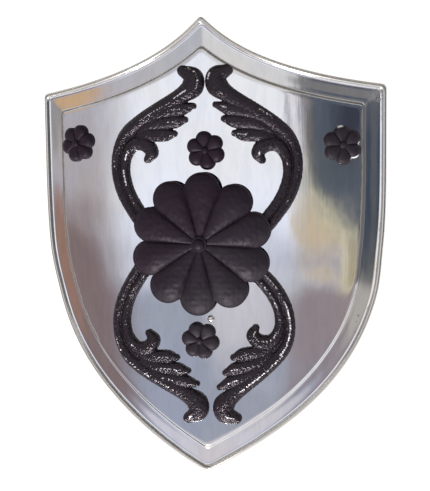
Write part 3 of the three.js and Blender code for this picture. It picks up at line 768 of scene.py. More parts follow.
def flower_rings(shape, centre, turn, petal_steps, top_steps):
    """Rings of a flower from the rim of its hole, over its petals, to the hole's lower rim."""
    around = shape.petals * petal_steps
    i = np.arange(around)
    direction = 2 * np.pi * i / around + np.pi / 2 + turn
    step = (i % petal_steps) / petal_steps
    across = np.where(step <= 0.5, 2 * step, 2 * step - 2)
    reach = petal_reach(shape, across)
    hub_part = shape.hub_radius / shape.radius
    way = np.column_stack([np.cos(direction), np.sin(direction)])
    rings = []

    def add_ring(radius, height):
        place = way * np.broadcast_to(radius, around)[:, None]
        rings.append(np.column_stack([centre + place, np.broadcast_to(height, around)]))

    add_ring(shape.hole, flower_top(shape, hub_part, across))
    bend = np.linspace(0, 1, top_steps)
    parts = hub_part + (1 - hub_part) * (1 - (1 - bend) ** RING_CROWDING)
    for part in parts:
        add_ring(part * reach, flower_top(shape, part, across))
    if shape.wall:
        add_ring(reach, shape.rim - shape.wall)
        for part in np.linspace(WALL_START, hub_part, top_steps // 3):
            add_ring(part * reach, flower_top(shape, part, across) - shape.wall)
        add_ring(hub_part * reach, shape.back)
    else:
        add_ring(reach, shape.back)
    add_ring(shape.hole, shape.back)
    return np.array(rings)


class Rivet:
    """Sizes of one rivet."""

    def __init__(self, shank, head, collar, dome, dome_radius):
        self.shank, self.head, self.collar = shank * MM, head * MM, collar * MM
        self.dome, self.dome_radius = dome * MM, dome_radius * MM


ROSETTE_RIVET = Rivet(3, 10.3, 1.4, 5.2, 7.6)
FLOWER_RIVET = Rivet(2.2, 4.6, 0.5, 2.6, 4.1)
BARE_RIVET = Rivet(2.5, 4.9, 0.6, 2.3, 4.5)
TAIL_SPREAD = 1.7
TAIL_HEIGHT = 1.8 * MM

ROSETTE_CENTRE = np.array([-3, 5.9]) * MM
ROSETTE_TURN = math.radians(-3)
PASS_UNDER = 0.5 * MM           # room between the rosette's rim and the scroll stems
SIDE_FLOWER_MARGIN = 2 * MM     # from a side flower to the pressed step
SIDE_FLOWER_DROP = (70.4 * MM, 78.4 * MM)
TOP_FLOWER_GAP = 2.4 * MM
FOOT_FLOWER_GAP = 8.9 * MM
TOP_FLOWER_ASIDE = 7.8 * MM
FOOT_FLOWER_ASIDE = -2.8 * MM
FLOWER_TURNS = {"flower_left": -17, "flower_right": 4, "flower_top": 8, "flower_bottom": 20}
BARE_RIVET_GAP = 0.8 * MM
BARE_RIVET_ANGLE = math.radians(-83.4)

# Steps round one petal, and from the hub to a petal's end
ROSETTE_STEPS = (40, 90)
FLOWER_STEPS = (36, 50)
FLOWER_GRAIN_LENGTHS = (4 * MM, 20 * MM)
FLOWER_GRAIN_WAVES = 30

# Painted highlights on a flower's edge: direction and half length, both in degrees
PAINTED_EDGE_GLINTS = {"flower_right": ((-47, 13), (6, 6), (98, 8))}
EDGE_GLINT_FADE = (0.88, 0.93)        # shares of the petal's reach between which the edge highlight sets in


def rosette_shape(sheet, ornament):
    """The rosette's rim lies just above the scroll stems, which pass under it."""
    back = sheet.step_rise + SEAT_GAP
    return FlowerShape(
        petals=ornament.rosette_petals, radius=ornament.rosette_radius,
        petal_end=ornament.rosette_petal_end,
        rim=back + ornament.scroll_crest + PASS_UNDER + ornament.rosette_wall,
        bulge=ornament.rosette_bulge, valley=1.2 * MM, hub_rise=3 * MM, hub_radius=12 * MM,
        hole=ROSETTE_RIVET.shank + HOLE_CLEARANCE, back=back, wall=ornament.rosette_wall,
    )


def flower_shape(sheet, ornament):
    """A small flower is solid with a flat back."""
    back = sheet.step_rise + SEAT_GAP
    return FlowerShape(
        petals=ornament.flower_petals, radius=ornament.flower_radius, petal_end=ornament.flower_petal_end,
        rim=back + 3 * MM, bulge=ornament.flower_bulge, valley=2 * MM, hub_rise=2.6 * MM,
        hub_radius=5.6 * MM, hole=FLOWER_RIVET.shank + HOLE_CLEARANCE, back=back, wall=0,
    )


def flower_places(sheet, ornament):
    """Centres of the small flowers in the flat sheet."""
    band_end = 2 * sheet.bead_radius + sheet.band_width + sheet.step_width
    side_x = sheet.half_width - band_end - SIDE_FLOWER_MARGIN - ornament.flower_radius
    shoulder_y = sheet.height / 2 - sheet.shoulder_drop
    reach = ornament.rosette_radius + ornament.flower_radius
    return {
        "flower_left": np.array([-side_x, shoulder_y - SIDE_FLOWER_DROP[0]]),
        "flower_right": np.array([side_x, shoulder_y - SIDE_FLOWER_DROP[1]]),
        "flower_top": ROSETTE_CENTRE + (TOP_FLOWER_ASIDE, reach + TOP_FLOWER_GAP),
        "flower_bottom": ROSETTE_CENTRE + (FOOT_FLOWER_ASIDE, -reach - FOOT_FLOWER_GAP),
    }


def bare_rivet_place(ornament):
    """The bare rivet stands just clear of the rosette, on the line of the grip."""
    span = ornament.rosette_radius + BARE_RIVET_GAP + BARE_RIVET.head
    return ROSETTE_CENTRE + span * np.array([math.cos(BARE_RIVET_ANGLE), math.sin(BARE_RIVET_ANGLE)])


def painted_edge_glints(rings, centre, marks):
    """Painted highlights along the edge: how near a point lies to its petal's end, times how near to a
    mark.
    """
    away = rings[..., :2] - centre
    radius = np.linalg.norm(away, axis=-1)
    near_edge = eased(radius / radius.max(axis=0), *EDGE_GLINT_FADE)
    direction = np.degrees(np.arctan2(away[..., 1], away[..., 0]))
    painted_glint = np.zeros(radius.shape)
    for middle, half in marks:
        off = (direction - middle + 180) % 360 - 180
        painted_glint += near_edge * np.exp(-((off / half) ** 4))
    return painted_glint.ravel()


def flower_mesh(name, shape, centre, turn, steps, grain, sheet):
    """One flower with a faint cast unevenness on its upper side."""
    rings = flower_rings(shape, centre, turn, *steps)
    # painted highlights on the flower's edge, in the highlight colour
    painted_glint = painted_edge_glints(rings, centre, PAINTED_EDGE_GLINTS.get(name, ()))
    flat = rings.reshape(-1, 3)
    lift = grain * ripples(flat, len(name) + 3, *FLOWER_GRAIN_LENGTHS, FLOWER_GRAIN_WAVES)
    flat[:, 2] += lift * eased(flat[:, 2], shape.rim, shape.rim + 1 * MM)
    points, quads, triangles = closed_shell(flat.reshape(rings.shape), closed_rows=True)
    mesh = new_mesh(name, laid(points, sheet), quads, triangles)
    point_values(mesh, "painted_glint", painted_glint)
    return mesh


def build_rosette(sheet, ornament, material):
    """The large rosette, a hollow cap over the roots of the scrolls."""
    shape = rosette_shape(sheet, ornament)
    mesh = flower_mesh(
        "rosette_casting", shape, ROSETTE_CENTRE, ROSETTE_TURN, ROSETTE_STEPS, ornament.cast_grain, sheet
    )
    new_piece("rosette_casting", mesh, material, "satin_black", "rosette")


def build_flowers(sheet, ornament, material):
    """The four small flowers."""
    shape = flower_shape(sheet, ornament)
    for name, centre in flower_places(sheet, ornament).items():
        turn = math.radians(FLOWER_TURNS[name])
        mesh = flower_mesh(name, shape, centre, turn, FLOWER_STEPS, ornament.cast_grain / 2, sheet)
        new_piece(name + "_casting", mesh, material, "satin_black", name)


# Rivets

RIVET_SIDES = 64
DOME_STEPS = 12
DOME_END = np.pi / 2 - 0.06     # where the dome's last ring stands, short of its pole
DOME_FOOT = 1.06                # radius of the collar's flat round the dome, as a share of the dome's
RIVET_ROUNDING = 0.35 * MM


def rounded_profile(corners, radius, steps=4):
    """A profile whose inner corners are replaced by short quadratic curves."""
    corners = np.asarray(corners, float)
    t = np.linspace(0, 1, steps + 1)[:, None]
    run = [corners[:1]]
    for before, corner, after in zip(corners[:-2], corners[1:-1], corners[2:]):
        cut = min(radius, *(np.linalg.norm(end - corner) * 0.45 for end in (before, after)))
        start = corner + (before - corner) / np.linalg.norm(before - corner) * cut
        end = corner + (after - corner) / np.linalg.norm(after - corner) * cut
        run.append((1 - t) ** 2 * start + 2 * t * (1 - t) * corner + t**2 * end)
    run.append(corners[-1:])
    return np.vstack(run)


def rivet_mesh(name, rivet, seat, tail_seat, centre, sheet):
    """A rivet turned round its own axis: formed tail, shank, collar and domed head."""
    tail = rivet.shank * TAIL_SPREAD
    under = tail_seat - SEAT_GAP
    base = seat + rivet.collar
    dome = np.linspace(0, DOME_END, DOME_STEPS)
    profile = np.vstack([
        rounded_profile([
            (0.05 * tail, under - TAIL_HEIGHT), (0.7 * tail, under - 0.75 * TAIL_HEIGHT), (tail, under),
            (rivet.shank, under), (rivet.shank, seat), (rivet.head, seat), (rivet.head, base),
            (rivet.dome_radius * DOME_FOOT, base),
        ], RIVET_ROUNDING),
        np.column_stack([rivet.dome_radius * np.cos(dome), base + rivet.dome * np.sin(dome)]),
    ])
    turn = np.linspace(0, 2 * np.pi, RIVET_SIDES, endpoint=False)
    ring = np.column_stack([np.cos(turn), np.sin(turn)])
    rings = np.array([
        np.column_stack([centre + ring * radius, np.full(RIVET_SIDES, height)])
        for radius, height in profile
    ])
    points, quads, triangles = closed_shell(rings)
    return new_mesh(name, laid(points, sheet), quads, triangles)


def build_rivets(sheet, ornament, satin, steel):
    """The rosette's rivet, one in each flower and the bare one below the rosette."""
    panel_back = sheet.step_rise - sheet.thickness
    grip_back = panel_back - SEAT_GAP - GRIP_THICKNESS
    seat = hub_seat(rosette_shape(sheet, ornament))
    mesh = rivet_mesh("rosette_knob", ROSETTE_RIVET, seat, grip_back, ROSETTE_CENTRE, sheet)
    new_piece("rosette_knob", mesh, satin, "satin_black", "rosette_rivet")
    seat = hub_seat(flower_shape(sheet, ornament))
    for name, centre in flower_places(sheet, ornament).items():
        mesh = rivet_mesh(name + "_knob", FLOWER_RIVET, seat, panel_back, centre, sheet)
        new_piece(name + "_knob", mesh, satin, "satin_black", name + "_rivet")
    seat = sheet.step_rise + SEAT_GAP
    mesh = rivet_mesh("bare_knob", BARE_RIVET, seat, grip_back, bare_rivet_place(ornament), sheet)
    new_piece("bare_knob", mesh, steel, "polished_steel", "bare_rivet")


# Grip on the back

GRIP_WIDTH = 22 * MM
GRIP_THICKNESS = 2.5 * MM
GRIP_FOOT = 11 * MM             # foot beyond each rivet
GRIP_FOOT_ROOM = 2 * MM
GRIP_FINGER_ROOM = 33 * MM
GRIP_LEAVE = 12 * MM
GRIP_RETURN = 6 * MM
GRIP_OUTSIDE = 3 * MM
GRIP_STEPS = 60
GRIP_FOOT_STEPS = 8
GRIP_SIDES = 48
GRIP_SQUARENESS = 0.25          # power of the section's rounding: 1 is an ellipse, 0 a box


def bow(span, flat, foot, level, deep, leave, comeback):
    """One side of the strap: level foot, S-shaped drop, middle of the bow, and the same back."""
    t = np.linspace(0, 1, GRIP_STEPS)
    drop = cubic([(flat, level), (flat + leave, level), (flat + comeback, deep), (span / 2, deep)], t)
    rise = drop[::-1] * (-1, 1) + (span, 0)
    feet = np.linspace(-foot, flat, GRIP_FOOT_STEPS)[:-1]
    first = np.column_stack([feet, np.full(len(feet), level)])
    last = first[::-1] * (-1, 1) + (span, 0)
    return np.vstack([first, drop, rise[1:], last])


def build_grip(sheet, ornament, material):
    """A strap bowed away from the plate. Its section is a flat rounded bar between two bows."""
    seat = sheet.step_rise - sheet.thickness - SEAT_GAP
    flat = ROSETTE_RIVET.shank * TAIL_SPREAD + GRIP_FOOT_ROOM
    run = bare_rivet_place(ornament) - ROSETTE_CENTRE
    span = np.linalg.norm(run)
    deep = seat - GRIP_FINGER_ROOM
    inner = bow(span, flat, GRIP_FOOT, seat, deep, GRIP_LEAVE, GRIP_RETURN)
    outer = bow(
        span, flat, GRIP_FOOT, seat - GRIP_THICKNESS, deep - GRIP_THICKNESS,
        GRIP_LEAVE - GRIP_OUTSIDE, GRIP_RETURN - GRIP_OUTSIDE,
    )
    turn = np.linspace(0, 2 * np.pi, GRIP_SIDES, endpoint=False)
    wide = np.sign(np.cos(turn)) * np.abs(np.cos(turn)) ** GRIP_SQUARENESS * GRIP_WIDTH / 2
    part = 0.5 + 0.5 * np.sign(np.sin(turn)) * np.abs(np.sin(turn)) ** GRIP_SQUARENESS
    middle = inner[:, None, :] * (1 - part[:, None]) + outer[:, None, :] * part[:, None]
    way = run / span
    side = np.array([-way[1], way[0]])
    place = ROSETTE_CENTRE + middle[..., :1] * way + wide[None, :, None] * side
    rings = np.concatenate([place, middle[..., 1:]], axis=-1)
    points, quads, triangles = closed_shell(rings)
    mesh = new_mesh("strap_grip", laid(points, sheet), quads, triangles)
    new_piece("strap_grip", mesh, material, "polished_steel", "back_grip")


# Materials


def add(tree, kind, inputs=None, **settings):
    """A node with its settings. An input is linked if it is a socket and set if it is a value."""
    made = tree.nodes.new(kind)
    for key, value in settings.items():
        setattr(made, key, value)
    for key, value in (inputs or {}).items():
        if isinstance(value, bpy.types.NodeSocket):
            tree.links.new(value, made.inputs[key])
        else:
            made.inputs[key].default_value = value
    return made


def maths(tree, operation, a, b=0.0):
    """The result of one sum of two numbers or sockets."""
    return add(tree, "ShaderNodeMath", {0: a, 1: b}, operation=operation).outputs[0]


def ramp(tree, value, low, high, to_low=0.0, to_high=1.0, smooth=True):
    """A value taken from one range to another and clamped."""
    made = add(
        tree, "ShaderNodeMapRange",
        {"Value": value, "From Min": low, "From Max": high, "To Min": to_low, "To Max": to_high},
        interpolation_type="SMOOTHSTEP" if smooth else "LINEAR",
    )
    return made.outputs["Result"]


def mix(tree, factor, a, b):
    """One colour mixed into another."""
    made = add(tree, "ShaderNodeMix", data_type="RGBA")
    for socket, value in ((made.inputs[0], factor), (made.inputs[6], a), (made.inputs[7], b)):
        if isinstance(value, bpy.types.NodeSocket):
            tree.links.new(value, socket)
        else:
            socket.default_value = value if isinstance(value, float) else (*value, 1.0)
    return made.outputs[2]


def noise(tree, vector, scale, detail=3.0, rough=0.5):
    """Fractal noise from 0 to 1."""
    made = add(
        tree, "ShaderNodeTexNoise",
        {"Vector": vector, "Scale": scale, "Detail": detail, "Roughness": rough},
    )
    return made.outputs["Fac"]


def stretched(tree, vector, scale):
    """Coordinates scaled along each axis."""
    made = add(tree, "ShaderNodeMapping", {"Vector": vector, "Scale": scale}, vector_type="POINT")
    return made.outputs["Vector"]


def attribute(tree, name):
    """A number stored on the mesh."""
    return add(tree, "ShaderNodeAttribute", attribute_name=name, attribute_type="GEOMETRY").outputs["Fac"]


def new_material(name):
    """An empty material with its shader and output."""
    material = bpy.data.materials.new(name)
    material.use_nodes = True
    tree = material.node_tree
    tree.nodes.clear()
    shader = add(tree, "ShaderNodeBsdfPrincipled")
    output = add(tree, "ShaderNodeOutputMaterial")
    tree.links.new(shader.outputs[0], output.inputs[0])
    return material, tree, shader


# Scales of the patterns in the steel along x, y and z: a larger one is finer. Buffing draws them
# out upright.
BRUSHED = (420.0, 14.0, 420.0)
SMEARED = (26.0, 9.0, 26.0)
STREAKED = (95.0, 24.0, 95.0)
DENTED = (34.0, 15.0, 34.0)
CLOUD_SCALE, LINE_BREAK_SCALE, SPECKLE_SCALE = 6.0, 55.0, 420.0

# Colour: how far each pattern changes it, and how bright the steel stays
CLOUD_WARMTH = 0.55
STREAK_WEIGHT, STREAK_SHARE = 0.22, 0.72
BEAD_WEIGHT, BEAD_SHARE = 0.8, 0.8

# Dirt and painted shade: how dark each kind gets, and how much the noise breaks its lines up. The groove
# and crease lines are painted shade with some dirt; the pits and the corner are dirt.
GROOVE_SHADE_AND_DIRT, CREASE_SHADE_AND_DIRT, PIT_DIRT, CORNER_DIRT = 0.5, 0.85, 0.8, 0.75
SHADE_LINE_BREAKS = 0.8
SHADE_LINE_RANGE = (0.72, 1.2)
SHADE_LINE_COVER = 0.85
SHADE_SLANT = 0.25               # the step's painted shade ends lower on the left, along a line of this slope
SHADE_END = (-110 * MM, -80 * MM)    # heights on the middle line between which it ends

# What is added to the roughness of the buffed steel, and the depth of its relief
SMEAR_ROUGHNESS, BRUSH_ROUGHNESS, BEAD_ROUGHNESS, DIRT_AND_SHADE_ROUGHNESS = 0.07, 0.03, 0.16, 0.4
STEEL_RELIEF = 0.2 * MM
BRUSH_RELIEF = 0.1              # share of that relief that the brushing has

# Marks on the band, in millimetres on the flat sheet: x, y and radius
PITS = (
    (204.5, -91, 1.9), (202, -99, 1.2), (200, -113.5, 2), (198.5, -126.5, 1.8), (196.5, -133.5, 2.2),
    (215, -96, 1.5), (211, -104.5, 1.5),
)
CORNER_GRIME = (231.5, 199, 12)
MARK_CORE = 0.35                # share of a mark's radius that is at full strength


def mark(tree, spot, sheet, place):
    """1 in the middle of a round mark on the sheet, falling to 0 at its edge."""
    x, y, radius = (value * MM for value in place)
    middle = laid(np.array([[x, y, -sheet.band_fall / 2]]), sheet)[0]
    away = add(tree, "ShaderNodeVectorMath", {0: spot, 1: tuple(middle)}, operation="DISTANCE")
    return ramp(tree, away.outputs["Value"], MARK_CORE * radius, radius, 1.0, 0.0)


def scaled(tree, value, share_kept):
    """A value times a share."""
    return maths(tree, "MULTIPLY", value, share_kept)


def relief(tree, height, depth, strength=1.0, under=None):
    """Normals of a height pattern, on top of the normals of another one if there is one."""
    inputs = {"Strength": strength, "Distance": depth, "Height": height}
    if under:
        inputs["Normal"] = under
    return add(tree, "ShaderNodeBump", inputs).outputs["Normal"]


def steel_material(sheet):
    """Buffed steel: vertical brushing, cloudy stains, brown painted shade with a little muck in the
    creases, and some pits.
    """
    material, tree, shader = new_material("buffed_steel")
    spot = add(tree, "ShaderNodeTexCoord").outputs["Object"]
    clouds = ramp(tree, noise(tree, spot, CLOUD_SCALE, 4.0), 0.42, 0.66)
    brushed = noise(tree, stretched(tree, spot, BRUSHED), 1.0, 3.0, 0.6)
    smears = noise(tree, stretched(tree, spot, SMEARED), 1.0, 5.0, 0.62)
    streaks = ramp(tree, noise(tree, stretched(tree, spot, STREAKED), 1.0, 4.0, 0.6), 0.4, 0.66)
    dents = noise(tree, stretched(tree, spot, DENTED), 1.0, 2.0, 0.4)
    breaks = scaled(tree, noise(tree, spot, LINE_BREAK_SCALE, 6.0, 0.65), SHADE_LINE_BREAKS)
    speckle = ramp(tree, noise(tree, spot, SPECKLE_SCALE, 3.0, 0.6), 0.46, 0.6)
    bead = attribute(tree, "bead")

    parts = add(tree, "ShaderNodeSeparateXYZ", {"Vector": spot}).outputs
    # painted shade, with some dirt, in the crease and in the groove beside the rim; it fades out lower down
    # the shield
    slanted = maths(tree, "SUBTRACT", parts["Y"], scaled(tree, parts["X"], SHADE_SLANT))
    high_up = ramp(tree, slanted, *SHADE_END)
    crease = scaled(tree, maths(tree, "MULTIPLY", attribute(tree, "crease"), high_up), CREASE_SHADE_AND_DIRT)
    shade_lines = maths(tree, "MAXIMUM", scaled(tree, attribute(tree, "groove"), GROOVE_SHADE_AND_DIRT), crease)
    dirt_and_shade = scaled(tree, ramp(tree, maths(tree, "ADD", shade_lines, breaks), *SHADE_LINE_RANGE), SHADE_LINE_COVER)
    for place in PITS:
        dirt_and_shade = maths(tree, "MAXIMUM", dirt_and_shade, scaled(tree, mark(tree, spot, sheet, place), PIT_DIRT))
    corner = maths(tree, "MULTIPLY", mark(tree, spot, sheet, CORNER_GRIME), speckle)
    dirt_and_shade = maths(tree, "MAXIMUM", dirt_and_shade, scaled(tree, corner, CORNER_DIRT))

    streaky = tuple(value * STREAK_SHARE for value in sheet.steel)
    dull = tuple(value * BEAD_SHARE for value in sheet.warm_steel)
    metal = mix(tree, scaled(tree, clouds, CLOUD_WARMTH), tuple(sheet.steel), tuple(sheet.warm_steel))
    metal = mix(tree, scaled(tree, streaks, STREAK_WEIGHT), metal, streaky)
    metal = mix(tree, scaled(tree, bead, BEAD_WEIGHT), metal, dull)
    tree.links.new(mix(tree, dirt_and_shade, metal, tuple(sheet.grime_and_shade)), shader.inputs["Base Color"])
    tree.links.new(maths(tree, "SUBTRACT", 1.0, dirt_and_shade), shader.inputs["Metallic"])

    rough = ramp(tree, smears, 0.35, 0.75, sheet.roughness, sheet.roughness + SMEAR_ROUGHNESS)
    for value, gain in ((brushed, BRUSH_ROUGHNESS), (bead, BEAD_ROUGHNESS), (dirt_and_shade, DIRT_AND_SHADE_ROUGHNESS)):
        rough = maths(tree, "ADD", rough, scaled(tree, value, gain))
    tree.links.new(rough, shader.inputs["Roughness"])
    wavy = relief(tree, dents, STEEL_RELIEF)
    tree.links.new(relief(tree, brushed, STEEL_RELIEF, BRUSH_RELIEF, wavy), shader.inputs["Normal"])
    return material


GRAIN_SCALES = (900.0, 260.0)   # fine and coarse cast bumps
FINE_SHARE = 0.4
DUST_SCALE = 22.0


def cast_grain_group():
    """Sandy cast surface: fine and coarse bumps as a height, and a mask of dust in the hollows."""
    group = bpy.data.node_groups.new("cast_grain", "ShaderNodeTree")
    group.interface.new_socket("Scale", in_out="INPUT", socket_type="NodeSocketFloat").default_value = 1.0
    group.interface.new_socket("Height", in_out="OUTPUT", socket_type="NodeSocketFloat")
    group.interface.new_socket("Cloud", in_out="OUTPUT", socket_type="NodeSocketFloat")
    start = group.nodes.new("NodeGroupInput")
    end = group.nodes.new("NodeGroupOutput")
    spot = add(group, "ShaderNodeTexCoord").outputs["Object"]
    fine_scale, coarse_scale = (scaled(group, start.outputs["Scale"], gain) for gain in GRAIN_SCALES)
    fine = noise(group, spot, fine_scale, 4.0, 0.6)
    coarse = noise(group, spot, coarse_scale, 3.0, 0.55)
    height = maths(group, "ADD", scaled(group, fine, FINE_SHARE), coarse)
    cloud = ramp(group, noise(group, spot, DUST_SCALE, 5.0, 0.6), 0.4, 0.72)
    group.links.new(height, end.inputs["Height"])
    group.links.new(cloud, end.inputs["Cloud"])
    return group


SHEEN = (0.96, 0.86, 0.95, 1)   # faint purple of the paint's gloss

# Casting paint: flecks and streaks of painted highlight together turn the paint to bright metal colour
# where their sum passes the range given here
GLINT_SPECK_SCALE, GLINT_SPECK_WEIGHT, GLINT_LINE_WEIGHT = 420.0, 1.5, 0.5
GLINT_RANGE = (1.07, 1.2)
GLINT_ROUGHNESS = 0.3
FADED_GAIN = 1.7                # brightness of the paint where it has faded
CASTING_GLOSS, CASTING_ROUGHNESS = 0.42, (0.14, 0.3)
CASTING_RELIEF = 0.7 * MM

# Satin paint: painted light, lighter towards the right and the foot between two values of x - y, over
# patches of dust
SATIN_GLOSS, SATIN_ROUGHNESS = 0.27, (0.46, 0.62)
SATIN_RELIEF, SATIN_STRENGTH, SATIN_GRAIN_SCALE = 0.4 * MM, 0.35, 0.7
LIT_SIDE_FROM, LIT_SIDE_TO = -60 * MM, 90 * MM
LIT_SIDE_SHARE, THIN_DUST = 0.5, 0.35


def paint_material(name, group, gloss, grain_scale):
    """A material for paint over a cast surface, with its cast grain."""
    material, tree, shader = new_material(name)
    shader.inputs["Specular Tint"].default_value = SHEEN
    shader.inputs["Specular IOR Level"].default_value = gloss
    grain = add(tree, "ShaderNodeGroup", {"Scale": grain_scale}, node_tree=group)
    return material, tree, shader, grain.outputs


def casting_material(ornament, group):
    """Semi-gloss black paint over a bumpy casting, with painted highlights as flecks and streaks along some
    crests.
    """
    material, tree, shader, grain = paint_material("painted_casting", group, CASTING_GLOSS, 1.0)
    spot = add(tree, "ShaderNodeTexCoord").outputs["Object"]
    glint_specks = scaled(tree, noise(tree, spot, GLINT_SPECK_SCALE, 3.0, 0.65), GLINT_SPECK_WEIGHT)
    glint_line = scaled(tree, attribute(tree, "painted_glint_lines"), GLINT_LINE_WEIGHT)
    painted_glint = ramp(tree, maths(tree, "ADD", glint_specks, glint_line), *GLINT_RANGE)
    faded = tuple(value * FADED_GAIN for value in ornament.casting)
    paint = mix(tree, grain["Cloud"], tuple(ornament.casting), faded)
    tree.links.new(mix(tree, painted_glint, paint, tuple(ornament.glint_colour)), shader.inputs["Base Color"])
    tree.links.new(painted_glint, shader.inputs["Metallic"])
    rough = ramp(tree, grain["Cloud"], 0.0, 1.0, *CASTING_ROUGHNESS)
    rough = maths(tree, "ADD", rough, scaled(tree, painted_glint, GLINT_ROUGHNESS))
    tree.links.new(rough, shader.inputs["Roughness"])
    tree.links.new(relief(tree, grain["Height"], CASTING_RELIEF), shader.inputs["Normal"])
    return material


def satin_material(ornament, group):
    """Satin black paint, lighter towards the right and the foot as painted light over dusty patches, with
    painted highlights on a few edges.
    """
    material, tree, shader, grain = paint_material(
        "satin_paint", group, SATIN_GLOSS, SATIN_GRAIN_SCALE
    )
    spot = add(tree, "ShaderNodeTexCoord").outputs["Object"]
    parts = add(tree, "ShaderNodeSeparateXYZ", {"Vector": spot}).outputs
    slanted = maths(tree, "SUBTRACT", parts["X"], parts["Y"])
    # painted light: the right and foot side of the satin black made lighter
    painted_lit_side = ramp(tree, slanted, LIT_SIDE_FROM, LIT_SIDE_TO, 0.0, LIT_SIDE_SHARE)
    patches = ramp(tree, grain["Cloud"], 0.0, 1.0, THIN_DUST, 1.0)
    dust_and_light = maths(tree, "MULTIPLY", patches, painted_lit_side)
    paint = mix(tree, dust_and_light, tuple(ornament.satin), tuple(ornament.dust_and_light))
    painted_glint = attribute(tree, "painted_glint")
    tree.links.new(mix(tree, painted_glint, paint, tuple(ornament.glint_colour)), shader.inputs["Base Color"])
    rough = ramp(tree, grain["Cloud"], 0.0, 1.0, *SATIN_ROUGHNESS)
    tree.links.new(rough, shader.inputs["Roughness"])
    satin = relief(tree, grain["Height"], SATIN_RELIEF, SATIN_STRENGTH)
    tree.links.new(satin, shader.inputs["Normal"])
    return material


# Stage

# Photograph's frame in pixels, and the camera's focal length in the same pixels
PHOTO_WIDE, PHOTO_HIGH = 430, 491
FOCAL = 992.65
AXIS_ACROSS, AXIS_DOWN = 204, 241    # where the camera's axis meets the photograph
FACE_POINT_Y = 9.4 * MM              # point of the flat sheet that the axis goes through
SENSOR = 36

# Soft cards round the shield, seen in the steel: colour, middle across and along, half width and
# half length, all in degrees, then the softness of the edge as a share of the half sizes. Across
# is measured towards +X from straight up, along towards the top point.
ALL_ROUND = 400
CARD_VALUES = ("Middle across", "Middle along", "Half width", "Half length", "Softness")
SKY_GAIN = 1.12
SKY_TONE = (0.97, 1.0, 1.09)
CARDS = (
    ((0.62, 0.62, 0.67), 0, 11, ALL_ROUND, 5, 0.25),        # pale beyond the top point
    ((0.42, 0.45, 0.55), 0, -16, ALL_ROUND, 8, 0.35),       # grey before the foot
    ((0.74, 0.74, 0.84), -3, -10.5, 9, 3, 0.5),
    ((0.78, 0.76, 0.83), 0, -26.5, ALL_ROUND, 5, 0.2),
    ((0.55, 0.52, 0.56), -100, 2, 62, 11, 0.14),            # left side, grey above and brown below
    ((0.27, 0.20, 0.20), -100, -13.6, 64, 10.5, 0.14),
    ((0.38, 0.23, 0.18), -120, -11.5, 62, 10.5, 0.05),
    ((0.40, 0.38, 0.37), -120, 5, 62, 6.5, 0.05),
    ((0.72, 0.48, 0.29), -54, 9, 9, 3.5, 0.45),             # warm patch
    ((0.36, 0.31, 0.34), 24, -14, 15, 6, 0.2),              # right side, dull below
    ((0.55, 0.53, 0.51), 47.5, -15, 15, 7.5, 0.2),
    ((0.74, 0.60, 0.41), 21, -6.0, 10, 1.6, 0.12),          # tan stripe
    ((0.76, 0.71, 0.50), 40, 6.9, 29.5, 13.8, 0.04),        # dark card with a pale border
    ((0.112, 0.132, 0.168), 40, 6.9, 28.2, 12.8, 0.035),
    ((0.05, 0.054, 0.08), 27, 0.3, 5, 2, 0.7),
    ((0.78, 0.72, 0.55), 27.6, -7.6, 3.6, 1.7, 0.15),       # tan patch below it, pale round its edge
    ((0.50, 0.44, 0.30), 28.0, -7.5, 2.4, 1.1, 0.2),
    ((0.20, 0.18, 0.16), 14.4, 4.5, 1.7, 6, 0.2),           # dark upright strip beside it
    ((0.44, 0.42, 0.52), 11.2, 1.5, 2.2, 4, 0.12),          # bright upright strip in a lilac one
    ((1.06, 1.06, 1.11), 11.3, 1.0, 1.0, 3.4, 0.15),
    ((0.86, 0.86, 0.88), 1, 10.2, 13.5, 4, 0.1),            # pale card above it, and a dull one
    ((0.25, 0.24, 0.24), 40, 12, 26, 4.2, 0.12),
    ((0.125, 0.135, 0.15), 112, -2, 82, 10.5, 0.03),
    ((0.28, 0.275, 0.27), 46, 8.8, 12, 6.4, 0.15),
    ((0.06, 0.08, 0.12), 37.6, -3.6, 2.7, 4.4, 0.4),
    ((0.27, 0.25, 0.235), 0, 56, ALL_ROUND, 40, 0.05),      # dull, far beyond the top point
    ((1.40, 1.40, 1.40), 0, 31, ALL_ROUND, 4.5, 0.2),       # bright strip across that
    ((1.04, 1.03, 1.05), 0, -64, ALL_ROUND, 30, 0.2),       # bright, far before the foot
)


def card_group():
    """Mask of a soft rounded card: the fourth root of u^4 + v^4, u and v being shares of its halves."""
    group = bpy.data.node_groups.new("soft_card", "ShaderNodeTree")
    for name in ("Across", "Along", *CARD_VALUES):
        group.interface.new_socket(name, in_out="INPUT", socket_type="NodeSocketFloat")
    group.interface.new_socket("Mask", in_out="OUTPUT", socket_type="NodeSocketFloat")
    start = group.nodes.new("NodeGroupInput").outputs
    end = group.nodes.new("NodeGroupOutput")

    def fourth(value, middle, half):
        off = maths(group, "DIVIDE", maths(group, "SUBTRACT", value, middle), half)
        return maths(group, "POWER", maths(group, "ABSOLUTE", off), 4.0)

    total = maths(group, "ADD", fourth(start["Across"], start["Middle across"], start["Half width"]),
                  fourth(start["Along"], start["Middle along"], start["Half length"]))
    reach = maths(group, "POWER", total, 0.25)
    low = maths(group, "SUBTRACT", 1.0, start["Softness"])
    high = maths(group, "ADD", 1.0, start["Softness"])
    group.links.new(ramp(group, reach, low, high, 1.0, 0.0), end.inputs["Mask"])
    return group


